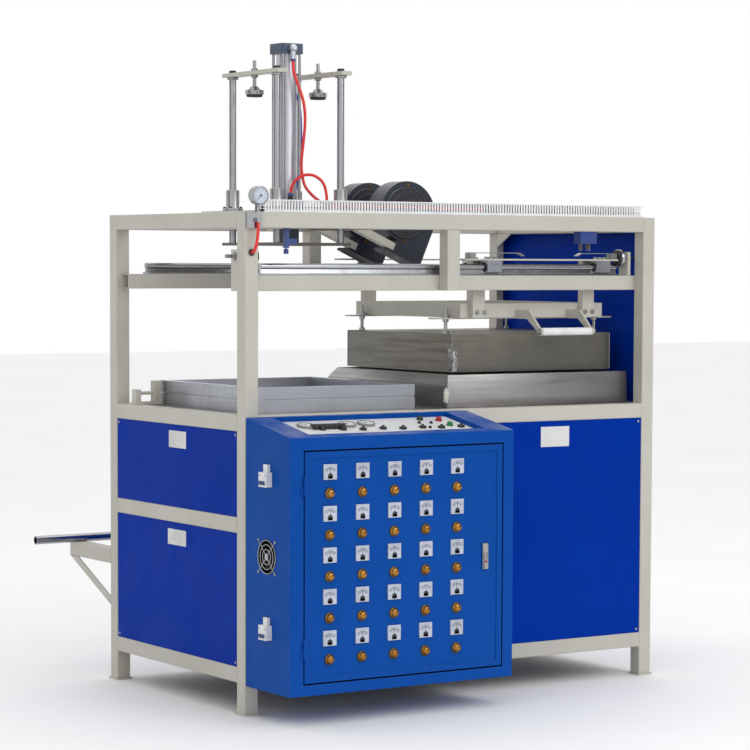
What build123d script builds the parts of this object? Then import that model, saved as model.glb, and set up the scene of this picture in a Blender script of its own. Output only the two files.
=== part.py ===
"""Blister forming machine: a welded tube frame with a forming station under an air press on the left,
a heater oven that rolls along two round rails on the right, and a control cabinet on the front.

Millimetres, +Z up, +X to the right along the front, +Y to the back.
The origin is on the floor under the middle of the front left post.
"""

import os
from math import atan2, cos, degrees, radians, sin, tan

from build123d import *

os.makedirs("parts", exist_ok=True)

# Small rounds that are no fit have this many flats
FLATS = 12
HEX = 6

# Frame of square tube
TUBE = 50
TUBE_WALL = 3
TUBE_CORNER = 4
LENGTH = 1650
DEPTH = 920
HEIGHT = 1600
TABLE_TOP = 956
MID_RAIL_TOP = 632
BOTTOM_RAIL_TOP = 152
FOOT_SIZE = 62
FOOT_THICK = 6
GUSSET_REACH = 88
GUSSET_DROP = 50
GUSSET_THICK = 5
HALF = TUBE / 2
LEFT = -HALF
RIGHT = LEFT + LENGTH
FRONT = -HALF
REAR = FRONT + DEPTH
MIDDLE_Y = (FRONT + REAR) / 2
POST_XS = (0, RIGHT - HALF)
POST_YS = (0, REAR - HALF)

# Stations of the press and the oven along the machine
PRESS_X = 405
OVEN_INSET = 428
OVEN_X = RIGHT - OVEN_INSET
OVEN_TRAVEL = OVEN_X - PRESS_X
HANGER_OFFSET = 370
HANGER_X = PRESS_X + HANGER_OFFSET

# Panels of folded sheet
SHEET = 2
PANEL_FOLD = 18
PANEL_RECESS = 3
PANEL_GAP = 0.5

# Carriage beams, with a round rail along the top of each
BEAM_DROP = 200
BEAM_TOP = HEIGHT - BEAM_DROP
BEAM_INSET = 20
BEAM_START = LEFT + BEAM_INSET
BEAM_END = RIGHT - HALF
BEAM_YS = (FRONT + 1.5 * TUBE, REAR - 1.5 * TUBE)
RAIL_INSET = 80
RAIL_START = BEAM_START + RAIL_INSET
RAIL_BASE = 45
RAIL_BASE_THICK = 5
RAIL_WEB = 12
RAIL_NECK = 8
RAIL_FILLET = 2
SHAFT_R = 10
SHAFT_RISE = 28
SHAFT_Z = BEAM_TOP + SHAFT_RISE
SLIDE_GAP = 0.3

# Carriage of the oven: bearing blocks, bars, straps, hanging frame and handle
BLOCK_OFFSETS = (-218, 245)
BLOCK_LENGTH = 58
BLOCK_WIDTH = 45
BLOCK_RISE = 50
BLOCK_HEIGHT = 39
BLOCK_TOP = BEAM_TOP + BLOCK_RISE
MOUTH_GAP = 2
CARRIAGE_BAR = 6
BAR_TOP = BLOCK_TOP + CARRIAGE_BAR
CARRIAGE_LEFT = OVEN_X - 342
CARRIAGE_RIGHT = OVEN_X + 309
STRAP_OFFSETS = (-242, 223)
STRAP_WIDTH = 50
STRAP_THICK = 25
STRAP_GAP = 10
RING_DROP = 144
RING_BOTTOM = BEAM_TOP - RING_DROP
RING_LEFT = OVEN_X - 302
RING_RIGHT = OVEN_X + 303
RING_HEIGHT = 48
RING_BAR = 30
RING_YS = (BEAM_YS[0] + HALF + STRAP_GAP + STRAP_THICK, BEAM_YS[1] - HALF - STRAP_GAP - STRAP_THICK)
FLAT_OVERHANG = 41
FLAT_WIDTH = 40
FLAT_THICK = 5
ARM_OFFSETS = (-65, 152)
ARM_THICK = 8
ARM_HEIGHT = 30
ARM_TOP_DROP = 22
ARM_LEVEL = 73
GRIP_REACH = 137
GRIP_DROP = 46
GRIP_R = 13

# Leaf springs on the front bar of the carriage
SPRING_THICK = 3
SPRING_WIDTH = 22
SPRING_BLOCK_WIDTH = 30
SPRING_BLOCK_HEIGHT = 18
SPRING_BLOCK_LENGTH = 24
SPRING_TIP_RUN = 18
SPRING_TIP_DROP = 9
LEFT_SPRING = (27, 228)
RIGHT_SPRING = (0, 168)

# End stops on the front beam
STOP_THICK = 12
STOP_RISE = 82
STOP_GAP = 5
BUMPER_RISE = 60
BUMPER_Z = BEAM_TOP + BUMPER_RISE
RUBBER_R = 27
RUBBER_THICK = 8
CUP_R = 31
CUP_LENGTH = 15
HUB_LENGTH = 12
HUB_BASE_R = 19
HUB_R = 10
STUD_R = 6
STUD_TAIL = 35
STUD_NUT_R = 11
STUD_NUT = 8
LEFT_BUMPER_X = CARRIAGE_LEFT - OVEN_TRAVEL - STOP_GAP
RIGHT_BUMPER_X = CARRIAGE_RIGHT + STOP_GAP
RIGHT_STOP_X = RIGHT_BUMPER_X + RUBBER_THICK + CUP_LENGTH + HUB_LENGTH
RAIL_END_GAP = 3
RAIL_END = RIGHT_BUMPER_X - RAIL_END_GAP

# Forming frame of grooved profile, its bed, and the adjuster beside it
FORM_WIDTH = 610
FORM_DEPTH = 656
FORM_HEIGHT = 81
FORM_WALL = 30
FORM_GROOVE = 4
BED_THICK = 20
BED_GAP = 1
DECK_THICK = 4
ADJUSTER_WIDTH = 30
ADJUSTER_INSET = 11
ADJUSTER_GAP = 9
ADJUSTER_BASE = 10
ADJUSTER_LENGTH = 99
NEAR_LUG = 26
NEAR_LUG_HEIGHT = 80
FAR_LUG = 20
FAR_LUG_HEIGHT = 52
ADJUSTER_SHAFT_R = 6
ADJUSTER_SHAFT_RISE = 39

# Fixed lower tray of the oven
TRAY_WIDTH = 767
TRAY_OFFSET = -5.5
TRAY_DEPTH = 748
TRAY_LEFT = OVEN_X + TRAY_OFFSET - TRAY_WIDTH / 2
TRAY_RIGHT = OVEN_X + TRAY_OFFSET + TRAY_WIDTH / 2
TRAY_FRONT = MIDDLE_Y - TRAY_DEPTH / 2
TRAY_REAR = MIDDLE_Y + TRAY_DEPTH / 2
TRAY_SHOULDER = TABLE_TOP + 78
TRAY_TOP = TABLE_TOP + 110
TRAY_SLOPE = 40
TRAY_SHEET = 3

# Moving oven box with its heater tiles
OVEN_WIDTH = 672
OVEN_DEPTH = 655
OVEN_HEIGHT = 129
OVEN_GAP = 6
OVEN_BOTTOM = TRAY_TOP + OVEN_GAP
OVEN_TOP = OVEN_BOTTOM + OVEN_HEIGHT
OVEN_SHEET = 3
TILE_COUNT = 5
TILE_PITCH = 122
TILE_SIZE = 106
TILE_THICK = 14
CARRIER_THICK = 37
ROD_INSET_X = 18
ROD_INSET_Y = 64
ROD_R = 6
ROD_HOLE_R = 7
ROD_TAIL = 35
NUT_R = 11
NUT_HEIGHT = 10

# Guided air press
ROD_SPACING_X = 249
ROD_SPACING_Y = 290
GUIDE_R = 12.5
GUIDE_HOLE_R = 16.5
BUSHING_FIT = 0.05
PLATE_THICK = 12
PLATE_WIDTH = 430
PLATE_DEPTH = 400
BUSHING_R = 23
BUSHING_FLANGE_R = 35
BUSHING_FLANGE = 12
BUSHING_HEIGHT = 73
TOP_BAR_RISE = 464
TOP_BAR_Z = HEIGHT + TOP_BAR_RISE
TOP_BAR_THICK = 13
TOP_BAR_WIDTH = 40
TOP_BAR_OVERHANG = 38
COLLAR_R = 20
COLLAR_HEIGHT = 8
PRESS_BUMPER_DROP = 73
PLATEN_WIDTH = 300
PLATEN_DEPTH = 345
PLATEN_THICK = 10
PLATEN_DROP = 103
PLATEN_BOTTOM = HEIGHT - PLATEN_DROP
COUPLING_SIZE = 60
COUPLING_HEIGHT = 60
CYLINDER_CAP = 87
CYLINDER_CAP_HEIGHT = 34
CAP_CORNER = 8
CYLINDER_TOP = HEIGHT + 572
BARREL_R = 34
BARREL_WALL = 3
PISTON_R = 12.5
PISTON_GAP = 40
TIE_R = 5
TIE_SPACING = 64

# Blowers, each with a volute that widens towards its outlet
BLOWER_X = 862
BLOWER_YS = (MIDDLE_Y - 40, MIDDLE_Y + 200)
BLOWER_Z = HEIGHT + 13
BLOWER_DEPTH = 84
BLOWER_TILT = 24
VOLUTE_R = 98
VOLUTE_GROWTH = 32
VOLUTE_SWEEP = 275
VOLUTE_POINTS = 10
OUTLET_REACH = 138
OUTLET_LEFT = 8.5
FLANGE_THICK = 9
FLANGE_OVERHANG = 26
INLET_R = 88
INLET_PROUD = 4
MOTOR_R = 52
MOTOR_LENGTH = 70
BLOWER_BAR = 26
BLOWER_BAR_DEPTH = 30
BLOWER_BAR_SETBACK = 3

# Control cabinet on the front
CABINET_LEFT = -20
CABINET_RIGHT = 827
CABINET_DEPTH = 270
CABINET_BOTTOM = 97
CABINET_BACK_TOP = TABLE_TOP - 4
CABINET_FRONT_TOP = TABLE_TOP - 54
CABINET_SHEET = 2
WELL_DEPTH = 18
WELL_SIDE = 90
WELL_FRONT = 38
WELL_BACK = 12
INSTRUMENT_THICK = 3
INSTRUMENT_GAP = 2
DOOR_LEFT = 33
DOOR_RIGHT = 783
DOOR_BOTTOM = 136
DOOR_TOP = CABINET_FRONT_TOP - 45
DOOR_THICK = 18
DOOR_GAP = 5
DOOR_RECESS_EDGE = 20
DOOR_RECESS = 3
METER_COLUMNS = 5
METER_ROWS = 5
METER_LEFT = DOOR_LEFT + 91
METER_TOP = DOOR_TOP - 64
METER_PITCH_X = 120.3
METER_SPARE = 71
METER_PITCH_Z = (DOOR_TOP - DOOR_BOTTOM - METER_SPARE) / METER_ROWS
METER_SIZE = 48
METER_PROUD = 6
KNOB_DROP = METER_PITCH_Z / 2 + 2
KNOB_R = 15
KNOB_HEIGHT = 16
KNOB_TAPER = 12
KNOB_FLATS = 8
LOCK_INSET = 67
LOCK_WIDTH = 22
LOCK_HEIGHT = 84
LOCK_PROUD = 7
HINGE_INSET = 107
HINGE_R = 6
HINGE_PIN_R = 3
HINGE_HALF = 30
HINGE_PLAY = 0.5
HINGE_WING = 14
HINGE_WING_THICK = 3
PIN_GAP = 0.05
BREAKER_ZS = (286, 766)
BREAKER_INSET = 137
BREAKER_SIZE = 46
BREAKER_PROUD = 22
CABLE_CLAMP = 24
CABLE_CLAMP_PROUD = 11

# Axial fan behind a wire guard in the left side of the cabinet
FAN_INSET = 130
FAN_Y = FRONT - FAN_INSET
FAN_Z = 522
FAN_SIZE = 120
FAN_DEPTH = 38
FAN_STRUT = 5
FAN_BORE_R = 56
FAN_HUB_R = 20
FAN_GAP = 5
FAN_PIN_R = 3
FAN_BLADES = 7
FAN_BLADE_THICK = 2
FAN_BLADE_PITCH = 35
GUARD_WIRE = 3
GUARD_FLATS = 16
GUARD_RINGS = (24, 39, 53)
GUARD_HUB_R = 10
GUARD_REACH = 74
FAN_FACE = CABINET_LEFT + CABINET_SHEET
ROTOR_START = CABINET_LEFT + FAN_GAP
ROTOR_END = FAN_FACE + FAN_DEPTH - FAN_STRUT - FAN_GAP

# Film roll pipe behind the machine
PIPE_R = 15
PIPE_WALL = 3
PIPE_OVERHANG = 148
ARM_REACH = 310
ARM_TIP = REAR + ARM_REACH
ARM_TOP = 450
ARM_PLUG = 50
PIPE_INSET = 25
PIPE_SINK = 3
PIPE_Y = ARM_TIP - PIPE_INSET
PIPE_Z = ARM_TOP + PIPE_R - PIPE_SINK
BRACE_SIZE = 25
BRACE_WALL = 3
BRACE_DROP = 143

# Wiring duct along the front rail
DUCT_LEFT = LEFT + 75
DUCT_RIGHT = RIGHT - 47
DUCT_SIZE = 40
DUCT_WALL = 2

# Vacuum gauge on the front left post
GAUGE_BLOCK_XS = (-21, 28)
GAUGE_BLOCK_DEPTH = 20
GAUGE_BLOCK_HEIGHT = 50
GAUGE_BLOCK_DROP = 51
GAUGE_X = 13
GAUGE_RISE = 51
GAUGE_R = 29
GAUGE_DEPTH = 30
GAUGE_STEM_R = 8
GAUGE_PORT = 14
GAUGE_PORT_X = 8
GAUGE_PORT_DROP = 33

# Hand valve and air preparation unit under the front top rail
VALVE_X = 141.5
VALVE_BAR = 15
VALVE_BAR_LENGTH = 63
VALVE_BODY = 29
VALVE_BODY_ZS = (33, 52)
VALVE_KNOB_R = 8
VALVE_STEM_R = 3
AIR_UNIT_X = RIGHT - 285
AIR_UNIT_SIZE = 69
AIR_UNIT_DEPTH = 38
AIR_UNIT_HEIGHT = 41
BOWLS = ((-20, 13), (12, 17))
BOWL_LENGTH = 25
AIR_PORT = 12

# Hoses with the fittings at their ends, from the middle of the press at the top of the frame,
# and the gauge's from the front of the left post there
HOSE_R = 5
BLUE_HOSE_R = 4
FITTING_R = 8
FITTING_SPAN = 44
VALVE_BLOCK_X = 169
VALVE_BLOCK_Y = -80
VALVE_BLOCK_SIZE = (52, 60)
VALVE_BLOCK_HEIGHT = 36
PORT_FITTING = 24
GROMMET_R = 11
GROMMET_BORE_R = 7
GROMMET_THICK = 4
LONG_HOSE = (
    (-8, -55, 519), (-8, -55, 485), (1, -61, 450), (14, -66, 415), (25, -69, 380), (31, -70, 340),
    (31, -70, 300), (27, -69, 258), (22, -68, 215), (18, -66, 172), (22, -65, 136), (27, -71, 99),
    (42, -81, 75), (63, -91, 53), (91, -98, 37), (123, -100, 30),
)
LOOP_HOSE = (
    (-16, -55, 67), (-16, -55, 86), (-10, -60, 105), (0, -67, 120), (14, -76, 130), (29, -87, 135),
    (45, -99, 133), (59, -109, 124), (71, -117, 111), (78, -122, 93), (81, -124, 74),
    (83, -125, 55), (83, -125, 36),
)
BLUE_HOSE = (
    (13, 55, 522), (13, 55, 498), (23, 56, 474), (38, 54, 451), (55, 50, 429), (69, 45, 404),
    (76, 40, 374), (79, 36, 340), (79, 35, 303), (80, 35, 265), (80, 35, 226), (79, 36, 190),
    (76, 39, 156), (71, 42, 123), (65, 45, 92), (60, 48, 64), (60, 48, 38),
)
GAUGE_HOSE = (
    (8, -27, -33), (8, -27, -50), (6, -30, -69), (3, -30, -89), (1, -27, -107), (-1, -20, -121),
    (-1, -10, -128), (-1, 0, -128),
)


def block(x, y, z):
    """Solid box between three (low, high) pairs."""
    low = (x[0], y[0], z[0])
    size = (x[1] - x[0], y[1] - y[0], z[1] - z[0])
    return Pos(*low) * Box(*size, align=(Align.MIN, Align.MIN, Align.MIN))


def around(centre, width):
    """The (low, high) pair of a width about a centre."""
    return (centre - width / 2, centre + width / 2)


def cylinder(start, end, radius):
    """Round bar between two points."""
    run = Vector(*end) - Vector(*start)
    return extrude(Plane(origin=start, z_dir=run) * Circle(radius), amount=run.length)


def prism(start, end, radius, sides=FLATS):
    """Bar of several flats between two points."""
    run = Vector(*end) - Vector(*start)
    return extrude(Plane(origin=start, z_dir=run) * RegularPolygon(radius, sides), amount=run.length)


def along_x(x, y, z):
    """Plane across the X axis, with Y to the right and Z up."""
    return Plane(origin=(x, y, z), x_dir=(0, 1, 0), z_dir=(1, 0, 0))


def tube(start, end):
    """Square tube of the frame between two points of its centre line."""
    run = Vector(*end) - Vector(*start)
    hollow = TUBE - 2 * TUBE_WALL
    outline = Rectangle(TUBE, TUBE)
    profile = chamfer(outline.vertices(), TUBE_CORNER / 2) - Rectangle(hollow, hollow)
    return extrude(Plane(origin=start, z_dir=run) * profile, amount=run.length)


def folded_panel(width, height):
    """Sheet panel with its four edges folded back, outside face on the XY plane and facing +Z."""
    outside = extrude(Rectangle(width, height), amount=-PANEL_FOLD)
    hollow = extrude(Rectangle(width - 2 * SHEET, height - 2 * SHEET), amount=-PANEL_FOLD)
    return outside - Pos(0, 0, -SHEET) * hollow


def panel_between(x, y, z, facing):
    """Folded panel that fills an opening of the frame; facing is the outward axis, such as "-X"."""
    along = x if facing[1] == "Y" else y
    width = along[1] - along[0] - 2 * PANEL_GAP
    height = z[1] - z[0] - 2 * PANEL_GAP
    sign = -1 if facing[0] == "-" else 1
    outward = (sign, 0, 0) if facing[1] == "X" else (0, sign, 0)
    sideways = (0, 1, 0) if facing[1] == "X" else (1, 0, 0)
    centre = (sum(x) / 2, sum(y) / 2, sum(z) / 2)
    return Plane(origin=centre, x_dir=sideways, z_dir=outward) * folded_panel(width, height)


def save(name, *pieces):
    """Write one sub-part, which may be several separate solids, to its own file."""
    solids = [solid for piece in pieces for solid in piece.solids()]
    export_step(solids[0] if len(solids) == 1 else Compound(solids), f"parts/{name}.step")


def corner_post(x, y):
    """Post with a closed top and a welded foot plate."""
    post = tube((x, y, FOOT_THICK), (x, y, HEIGHT))
    inside = around(0, TUBE - 2 * TUBE_WALL)
    cap = Pos(x, y, HEIGHT - TUBE_WALL) * block(inside, inside, (0, TUBE_WALL))
    outline = Rectangle(FOOT_SIZE, FOOT_SIZE)
    foot = Pos(x, y, 0) * extrude(chamfer(outline.vertices(), TUBE_CORNER), amount=FOOT_THICK)
    return post + cap + foot


def ring_of_rails(top):
    """Four rails between the corner posts, with their upper faces at one height."""
    z = top - HALF
    left, right = POST_XS
    front, rear = POST_YS
    return [
        tube((LEFT + TUBE, front, z), (RIGHT - TUBE, front, z)),
        tube((LEFT + TUBE, rear, z), (RIGHT - TUBE, rear, z)),
        tube((left, FRONT + TUBE, z), (left, REAR - TUBE, z)),
        tube((right, FRONT + TUBE, z), (right, REAR - TUBE, z)),
    ]


def cross_rail(x, top):
    """Rail from the front rail to the rear rail."""
    z = top - HALF
    return tube((x, FRONT + TUBE, z), (x, REAR - TUBE, z))


def frame():
    """Posts, rails, beams and hangers, all of the same square tube."""
    y = REAR - TUBE
    z = HEIGHT - TUBE
    triangle = make_face(Polyline((y, z), (y - GUSSET_REACH, z), (y, z - GUSSET_DROP), close=True))
    gusset = extrude(along_x(RIGHT - TUBE, 0, 0) * triangle, amount=GUSSET_THICK)
    save("corner_posts", *[corner_post(x, y) for x in POST_XS for y in POST_YS])
    save("top_rails", *ring_of_rails(HEIGHT), gusset)
    save("table_rails", *ring_of_rails(TABLE_TOP))
    side_rail_z = MID_RAIL_TOP - HALF
    mid_rails = [tube((x, FRONT + TUBE, side_rail_z), (x, REAR - TUBE, side_rail_z)) for x in POST_XS]
    save("lower_rails", *ring_of_rails(BOTTOM_RAIL_TOP), *mid_rails)

    press_rail = PLATE_WIDTH / 2 - HALF
    cross = [cross_rail(x, HEIGHT) for x in (PRESS_X - press_rail, PRESS_X + press_rail)]
    under_deck = TABLE_TOP - DECK_THICK
    cross += [cross_rail(x, under_deck) for x in (PRESS_X - press_rail, HANGER_X, OVEN_X)]
    save("cross_rails", *cross)

    beam_z = BEAM_TOP - HALF
    save("carriage_beams", *[tube((BEAM_START, y, beam_z), (BEAM_END, y, beam_z)) for y in BEAM_YS])
    hangers = [tube((HANGER_X, y, BEAM_TOP - TUBE), (HANGER_X, y, HEIGHT - TUBE)) for y in POST_YS]
    save("hanger_posts", *hangers)
    stiles = [
        tube((HANGER_X + TUBE, y, BOTTOM_RAIL_TOP), (HANGER_X + TUBE, y, TABLE_TOP - TUBE)) for y in POST_YS
    ]
    save("lower_stiles", *stiles)


def panels():
    """Blue panels that close the base and the right side."""
    low = (BOTTOM_RAIL_TOP, TABLE_TOP - TUBE)
    lower_half = (BOTTOM_RAIL_TOP, MID_RAIL_TOP - TUBE)
    upper_half = (MID_RAIL_TOP, TABLE_TOP - TUBE)
    tall = (TABLE_TOP, HEIGHT - TUBE)
    between_posts_y = (FRONT + TUBE, REAR - TUBE)
    left_face = LEFT + PANEL_RECESS
    right_face = RIGHT - PANEL_RECESS
    front_face = FRONT + PANEL_RECESS
    rear_face = REAR - PANEL_RECESS
    stile_left = HANGER_X + HALF
    stile_right = HANGER_X + HALF + TUBE
    right_post = RIGHT - TUBE
    left_post = LEFT + TUBE
    save(
        "side_panels",
        panel_between((left_face, left_face), between_posts_y, lower_half, "-X"),
        panel_between((left_face, left_face), between_posts_y, upper_half, "-X"),
        panel_between((right_face, right_face), between_posts_y, lower_half, "+X"),
        panel_between((right_face, right_face), between_posts_y, upper_half, "+X"),
    )
    save("oven_side_panel", panel_between((right_face, right_face), between_posts_y, tall, "+X"))
    save("front_panel", panel_between((stile_right, right_post), (front_face, front_face), low, "-Y"))
    save(
        "rear_panels",
        panel_between((left_post, stile_left), (rear_face, rear_face), low, "+Y"),
        panel_between((stile_right, right_post), (rear_face, rear_face), low, "+Y"),
    )


def table():
    """Deck, forming frame with its bed and adjuster, and the fixed lower tray of the oven."""
    deck = block(
        (LEFT + TUBE + PANEL_GAP, RIGHT - TUBE - PANEL_GAP),
        (FRONT + TUBE + PANEL_GAP, REAR - TUBE - PANEL_GAP),
        (TABLE_TOP - DECK_THICK, TABLE_TOP),
    )
    save("table_deck", deck)

    top = TABLE_TOP + FORM_HEIGHT
    wide = block(around(PRESS_X, FORM_WIDTH), around(MIDDLE_Y, FORM_DEPTH), (TABLE_TOP, top))
    opening = block(
        around(PRESS_X, FORM_WIDTH - 2 * FORM_WALL),
        around(MIDDLE_Y, FORM_DEPTH - 2 * FORM_WALL),
        (TABLE_TOP, top),
    )
    groove_z = TABLE_TOP + FORM_HEIGHT / 2
    groove = block(
        around(PRESS_X, FORM_WIDTH), around(MIDDLE_Y, FORM_DEPTH), around(groove_z, FORM_GROOVE)
    ) - block(
        around(PRESS_X, FORM_WIDTH - 2 * FORM_GROOVE),
        around(MIDDLE_Y, FORM_DEPTH - 2 * FORM_GROOVE),
        around(groove_z, FORM_GROOVE),
    )
    save("forming_frame", wide - opening - groove)

    bed_width = FORM_WIDTH - 2 * FORM_WALL - 2 * BED_GAP
    bed_depth = FORM_DEPTH - 2 * FORM_WALL - 2 * BED_GAP
    bed = block(
        around(PRESS_X, bed_width), around(MIDDLE_Y, bed_depth), (TABLE_TOP, TABLE_TOP + BED_THICK)
    )
    save("forming_bed", bed)
    save("frame_adjuster", frame_adjuster())
    save("oven_tray", oven_tray())


def frame_adjuster():
    """Two lugs on a base plate with a shaft between them, against the left side of the forming frame."""
    right = PRESS_X - FORM_WIDTH / 2 - ADJUSTER_GAP
    left = right - ADJUSTER_LENGTH
    y = MIDDLE_Y + FORM_DEPTH / 2 - ADJUSTER_INSET
    width = around(y, ADJUSTER_WIDTH)
    shaft_z = TABLE_TOP + ADJUSTER_SHAFT_RISE
    base = block((left, right), width, (TABLE_TOP, TABLE_TOP + ADJUSTER_BASE))
    near_lug = block((right - NEAR_LUG, right), width, (TABLE_TOP, TABLE_TOP + NEAR_LUG_HEIGHT))
    far_lug = block((left, left + FAR_LUG), width, (TABLE_TOP, TABLE_TOP + FAR_LUG_HEIGHT))
    shaft = prism((left, y, shaft_z), (right, y, shaft_z), ADJUSTER_SHAFT_R)
    return base + near_lug + far_lug + shaft


def oven_tray():
    """Open tray of folded sheet: the side walls lean in above a shoulder, the end walls stand straight."""
    outline = Polyline(
        (TRAY_LEFT, TABLE_TOP),
        (TRAY_LEFT, TRAY_SHOULDER),
        (TRAY_LEFT + TRAY_SLOPE, TRAY_TOP),
        (TRAY_RIGHT - TRAY_SLOPE, TRAY_TOP),
        (TRAY_RIGHT, TRAY_SHOULDER),
        (TRAY_RIGHT, TABLE_TOP),
        close=True,
    )
    section = Plane.XZ.offset(-TRAY_REAR) * make_face(outline)
    whole = extrude(section, amount=TRAY_DEPTH)
    hollow_section = Plane.XZ.offset(-(TRAY_REAR - TRAY_SHEET)) * offset(
        make_face(outline), amount=-TRAY_SHEET, kind=Kind.INTERSECTION
    )
    hollow = extrude(hollow_section, amount=TRAY_DEPTH - 2 * TRAY_SHEET)
    mouth = block(
        (TRAY_LEFT + TRAY_SLOPE, TRAY_RIGHT - TRAY_SLOPE),
        (TRAY_FRONT + TRAY_SHEET, TRAY_REAR - TRAY_SHEET),
        (TRAY_SHOULDER, TRAY_TOP),
    )
    return whole - hollow - mouth


def rails_and_stops():
    """Supported round rails on both beams, and the plates and bumpers that stop the oven."""
    half_base = RAIL_BASE / 2
    half_web = RAIL_WEB / 2
    half_neck = RAIL_NECK / 2
    neck_top = SHAFT_RISE - SHAFT_R + RAIL_FILLET
    support = make_face(
        Polyline(
            (-half_base, 0),
            (half_base, 0),
            (half_base, RAIL_BASE_THICK),
            (half_web, RAIL_BASE_THICK + RAIL_FILLET),
            (half_neck, neck_top),
            (-half_neck, neck_top),
            (-half_web, RAIL_BASE_THICK + RAIL_FILLET),
            (-half_base, RAIL_BASE_THICK),
            close=True,
        )
    )
    section = support + Pos(0, SHAFT_RISE) * Circle(SHAFT_R)
    length = RAIL_END - RAIL_START
    rails = [extrude(along_x(RAIL_START, y, BEAM_TOP) * section, amount=length) for y in BEAM_YS]
    save("linear_rails", *rails)

    y = BEAM_YS[0]
    width = around(y, TUBE)
    stop_top = BEAM_TOP + STOP_RISE
    left_plate = block((BEAM_START - STOP_THICK, BEAM_START), width, (BEAM_TOP - TUBE, stop_top))
    right_plate = block((RIGHT_STOP_X, RIGHT_STOP_X + STOP_THICK), width, (BEAM_TOP, stop_top))
    hole = prism((BEAM_START - TUBE, y, BUMPER_Z), (BEAM_END, y, BUMPER_Z), STUD_R, HEX)
    save("stop_plates", left_plate - hole, right_plate - hole)

    left_stud = LEFT_BUMPER_X - (BEAM_START - STOP_THICK - STUD_TAIL)
    right_stud = RIGHT_STOP_X + STOP_THICK + STUD_TAIL - RIGHT_BUMPER_X
    left_nuts = (LEFT_BUMPER_X - BEAM_START - STUD_NUT, LEFT_BUMPER_X - BEAM_START + STOP_THICK)
    right_nuts = (RIGHT_STOP_X - RIGHT_BUMPER_X + STOP_THICK,)
    facing_right = Plane(origin=(LEFT_BUMPER_X, y, BUMPER_Z), z_dir=(-1, 0, 0))
    facing_left = Plane(origin=(RIGHT_BUMPER_X, y, BUMPER_Z), z_dir=(1, 0, 0))
    save(
        "stop_bumpers",
        facing_right * bumper(HUB_LENGTH, left_stud, left_nuts),
        facing_left * bumper(HUB_LENGTH, right_stud, right_nuts),
    )


def bumper(hub, length, nuts):
    """Rubber disc in a steel cup on a stud with nuts, from its face on the XY plane up along +Z."""
    cup_end = RUBBER_THICK + CUP_LENGTH
    buffer = extrude(RegularPolygon(RUBBER_R, FLATS), amount=RUBBER_THICK)
    buffer += Pos(0, 0, RUBBER_THICK) * extrude(RegularPolygon(CUP_R, FLATS), amount=CUP_LENGTH)
    slant = degrees(atan2(HUB_BASE_R - HUB_R, hub))
    buffer += Pos(0, 0, cup_end) * extrude(RegularPolygon(HUB_BASE_R, FLATS), amount=hub, taper=slant)
    buffer += extrude(RegularPolygon(STUD_R, HEX), amount=length)
    for start in nuts:
        buffer += Pos(0, 0, start) * extrude(RegularPolygon(STUD_NUT_R, HEX), amount=STUD_NUT)
    return buffer


def oven_carriage():
    """Bearing blocks, bars, hanging frame, box, heaters, springs and handle, which roll together."""
    section = Pos(0, BLOCK_TOP - BLOCK_HEIGHT / 2 - SHAFT_Z) * Rectangle(BLOCK_WIDTH, BLOCK_HEIGHT)
    mouth = Pos(0, -SHAFT_RISE) * Rectangle(RAIL_WEB + 2 * MOUTH_GAP, 2 * SHAFT_RISE)
    section = section - Circle(SHAFT_R + SLIDE_GAP) - mouth
    blocks = [
        extrude(along_x(OVEN_X + place - BLOCK_LENGTH / 2, y, SHAFT_Z) * section, amount=BLOCK_LENGTH)
        for y in BEAM_YS
        for place in BLOCK_OFFSETS
    ]
    save("bearing_blocks", *blocks)

    bars = []
    for y, inward in zip(BEAM_YS, (1, -1)):
        bar = block((CARRIAGE_LEFT, CARRIAGE_RIGHT), around(y, BLOCK_WIDTH), (BLOCK_TOP, BAR_TOP))
        near = y + inward * (HALF + STRAP_GAP)
        far = near + inward * STRAP_THICK
        for place in STRAP_OFFSETS:
            width = around(OVEN_X + place, STRAP_WIDTH)
            bar += block(width, sorted((y, far)), (BLOCK_TOP, BAR_TOP))
            bar += block(width, sorted((near, far)), (RING_BOTTOM, BAR_TOP))
        bars.append(bar)
    save("carriage_bars", *bars)

    save("hanging_frame", hanging_frame())
    save("hanging_rods", *hanging_rods())
    save("oven_box", oven_box())
    save("heater_bank", heater_bank())
    save(
        "spring_arms",
        spring_arm(CARRIAGE_LEFT + LEFT_SPRING[0], LEFT_SPRING[1], 1),
        spring_arm(CARRIAGE_RIGHT - RIGHT_SPRING[0], RIGHT_SPRING[1], -1),
    )
    grip_ends = [OVEN_X + place + side for place, side in zip(ARM_OFFSETS, (ARM_THICK / 2, -ARM_THICK / 2))]
    grip_y = RING_YS[0] - GRIP_REACH
    grip_z = RING_BOTTOM - GRIP_DROP
    save("handle_grip", prism((grip_ends[0], grip_y, grip_z), (grip_ends[1], grip_y, grip_z), GRIP_R))


def spring_arm(start, length, direction):
    """Leaf spring on a clamp block, with its tip bent down; direction is the way it points along X."""
    y = BEAM_YS[0]
    foot = block((0, SPRING_BLOCK_LENGTH), around(0, SPRING_BLOCK_WIDTH), (0, SPRING_BLOCK_HEIGHT))
    top = SPRING_BLOCK_HEIGHT + SPRING_THICK
    straight = length - SPRING_TIP_RUN
    outline = Polyline(
        (0, SPRING_BLOCK_HEIGHT),
        (straight, SPRING_BLOCK_HEIGHT),
        (length, SPRING_BLOCK_HEIGHT - SPRING_TIP_DROP),
        (length, top - SPRING_TIP_DROP),
        (straight, top),
        (0, top),
        close=True,
    )
    leaf = extrude(Plane.XZ * make_face(outline), amount=SPRING_WIDTH / 2, both=True)
    arm = foot + leaf
    if direction < 0:
        arm = mirror(arm, about=Plane.YZ)
    return Pos(start, y, BAR_TOP) * arm


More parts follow.
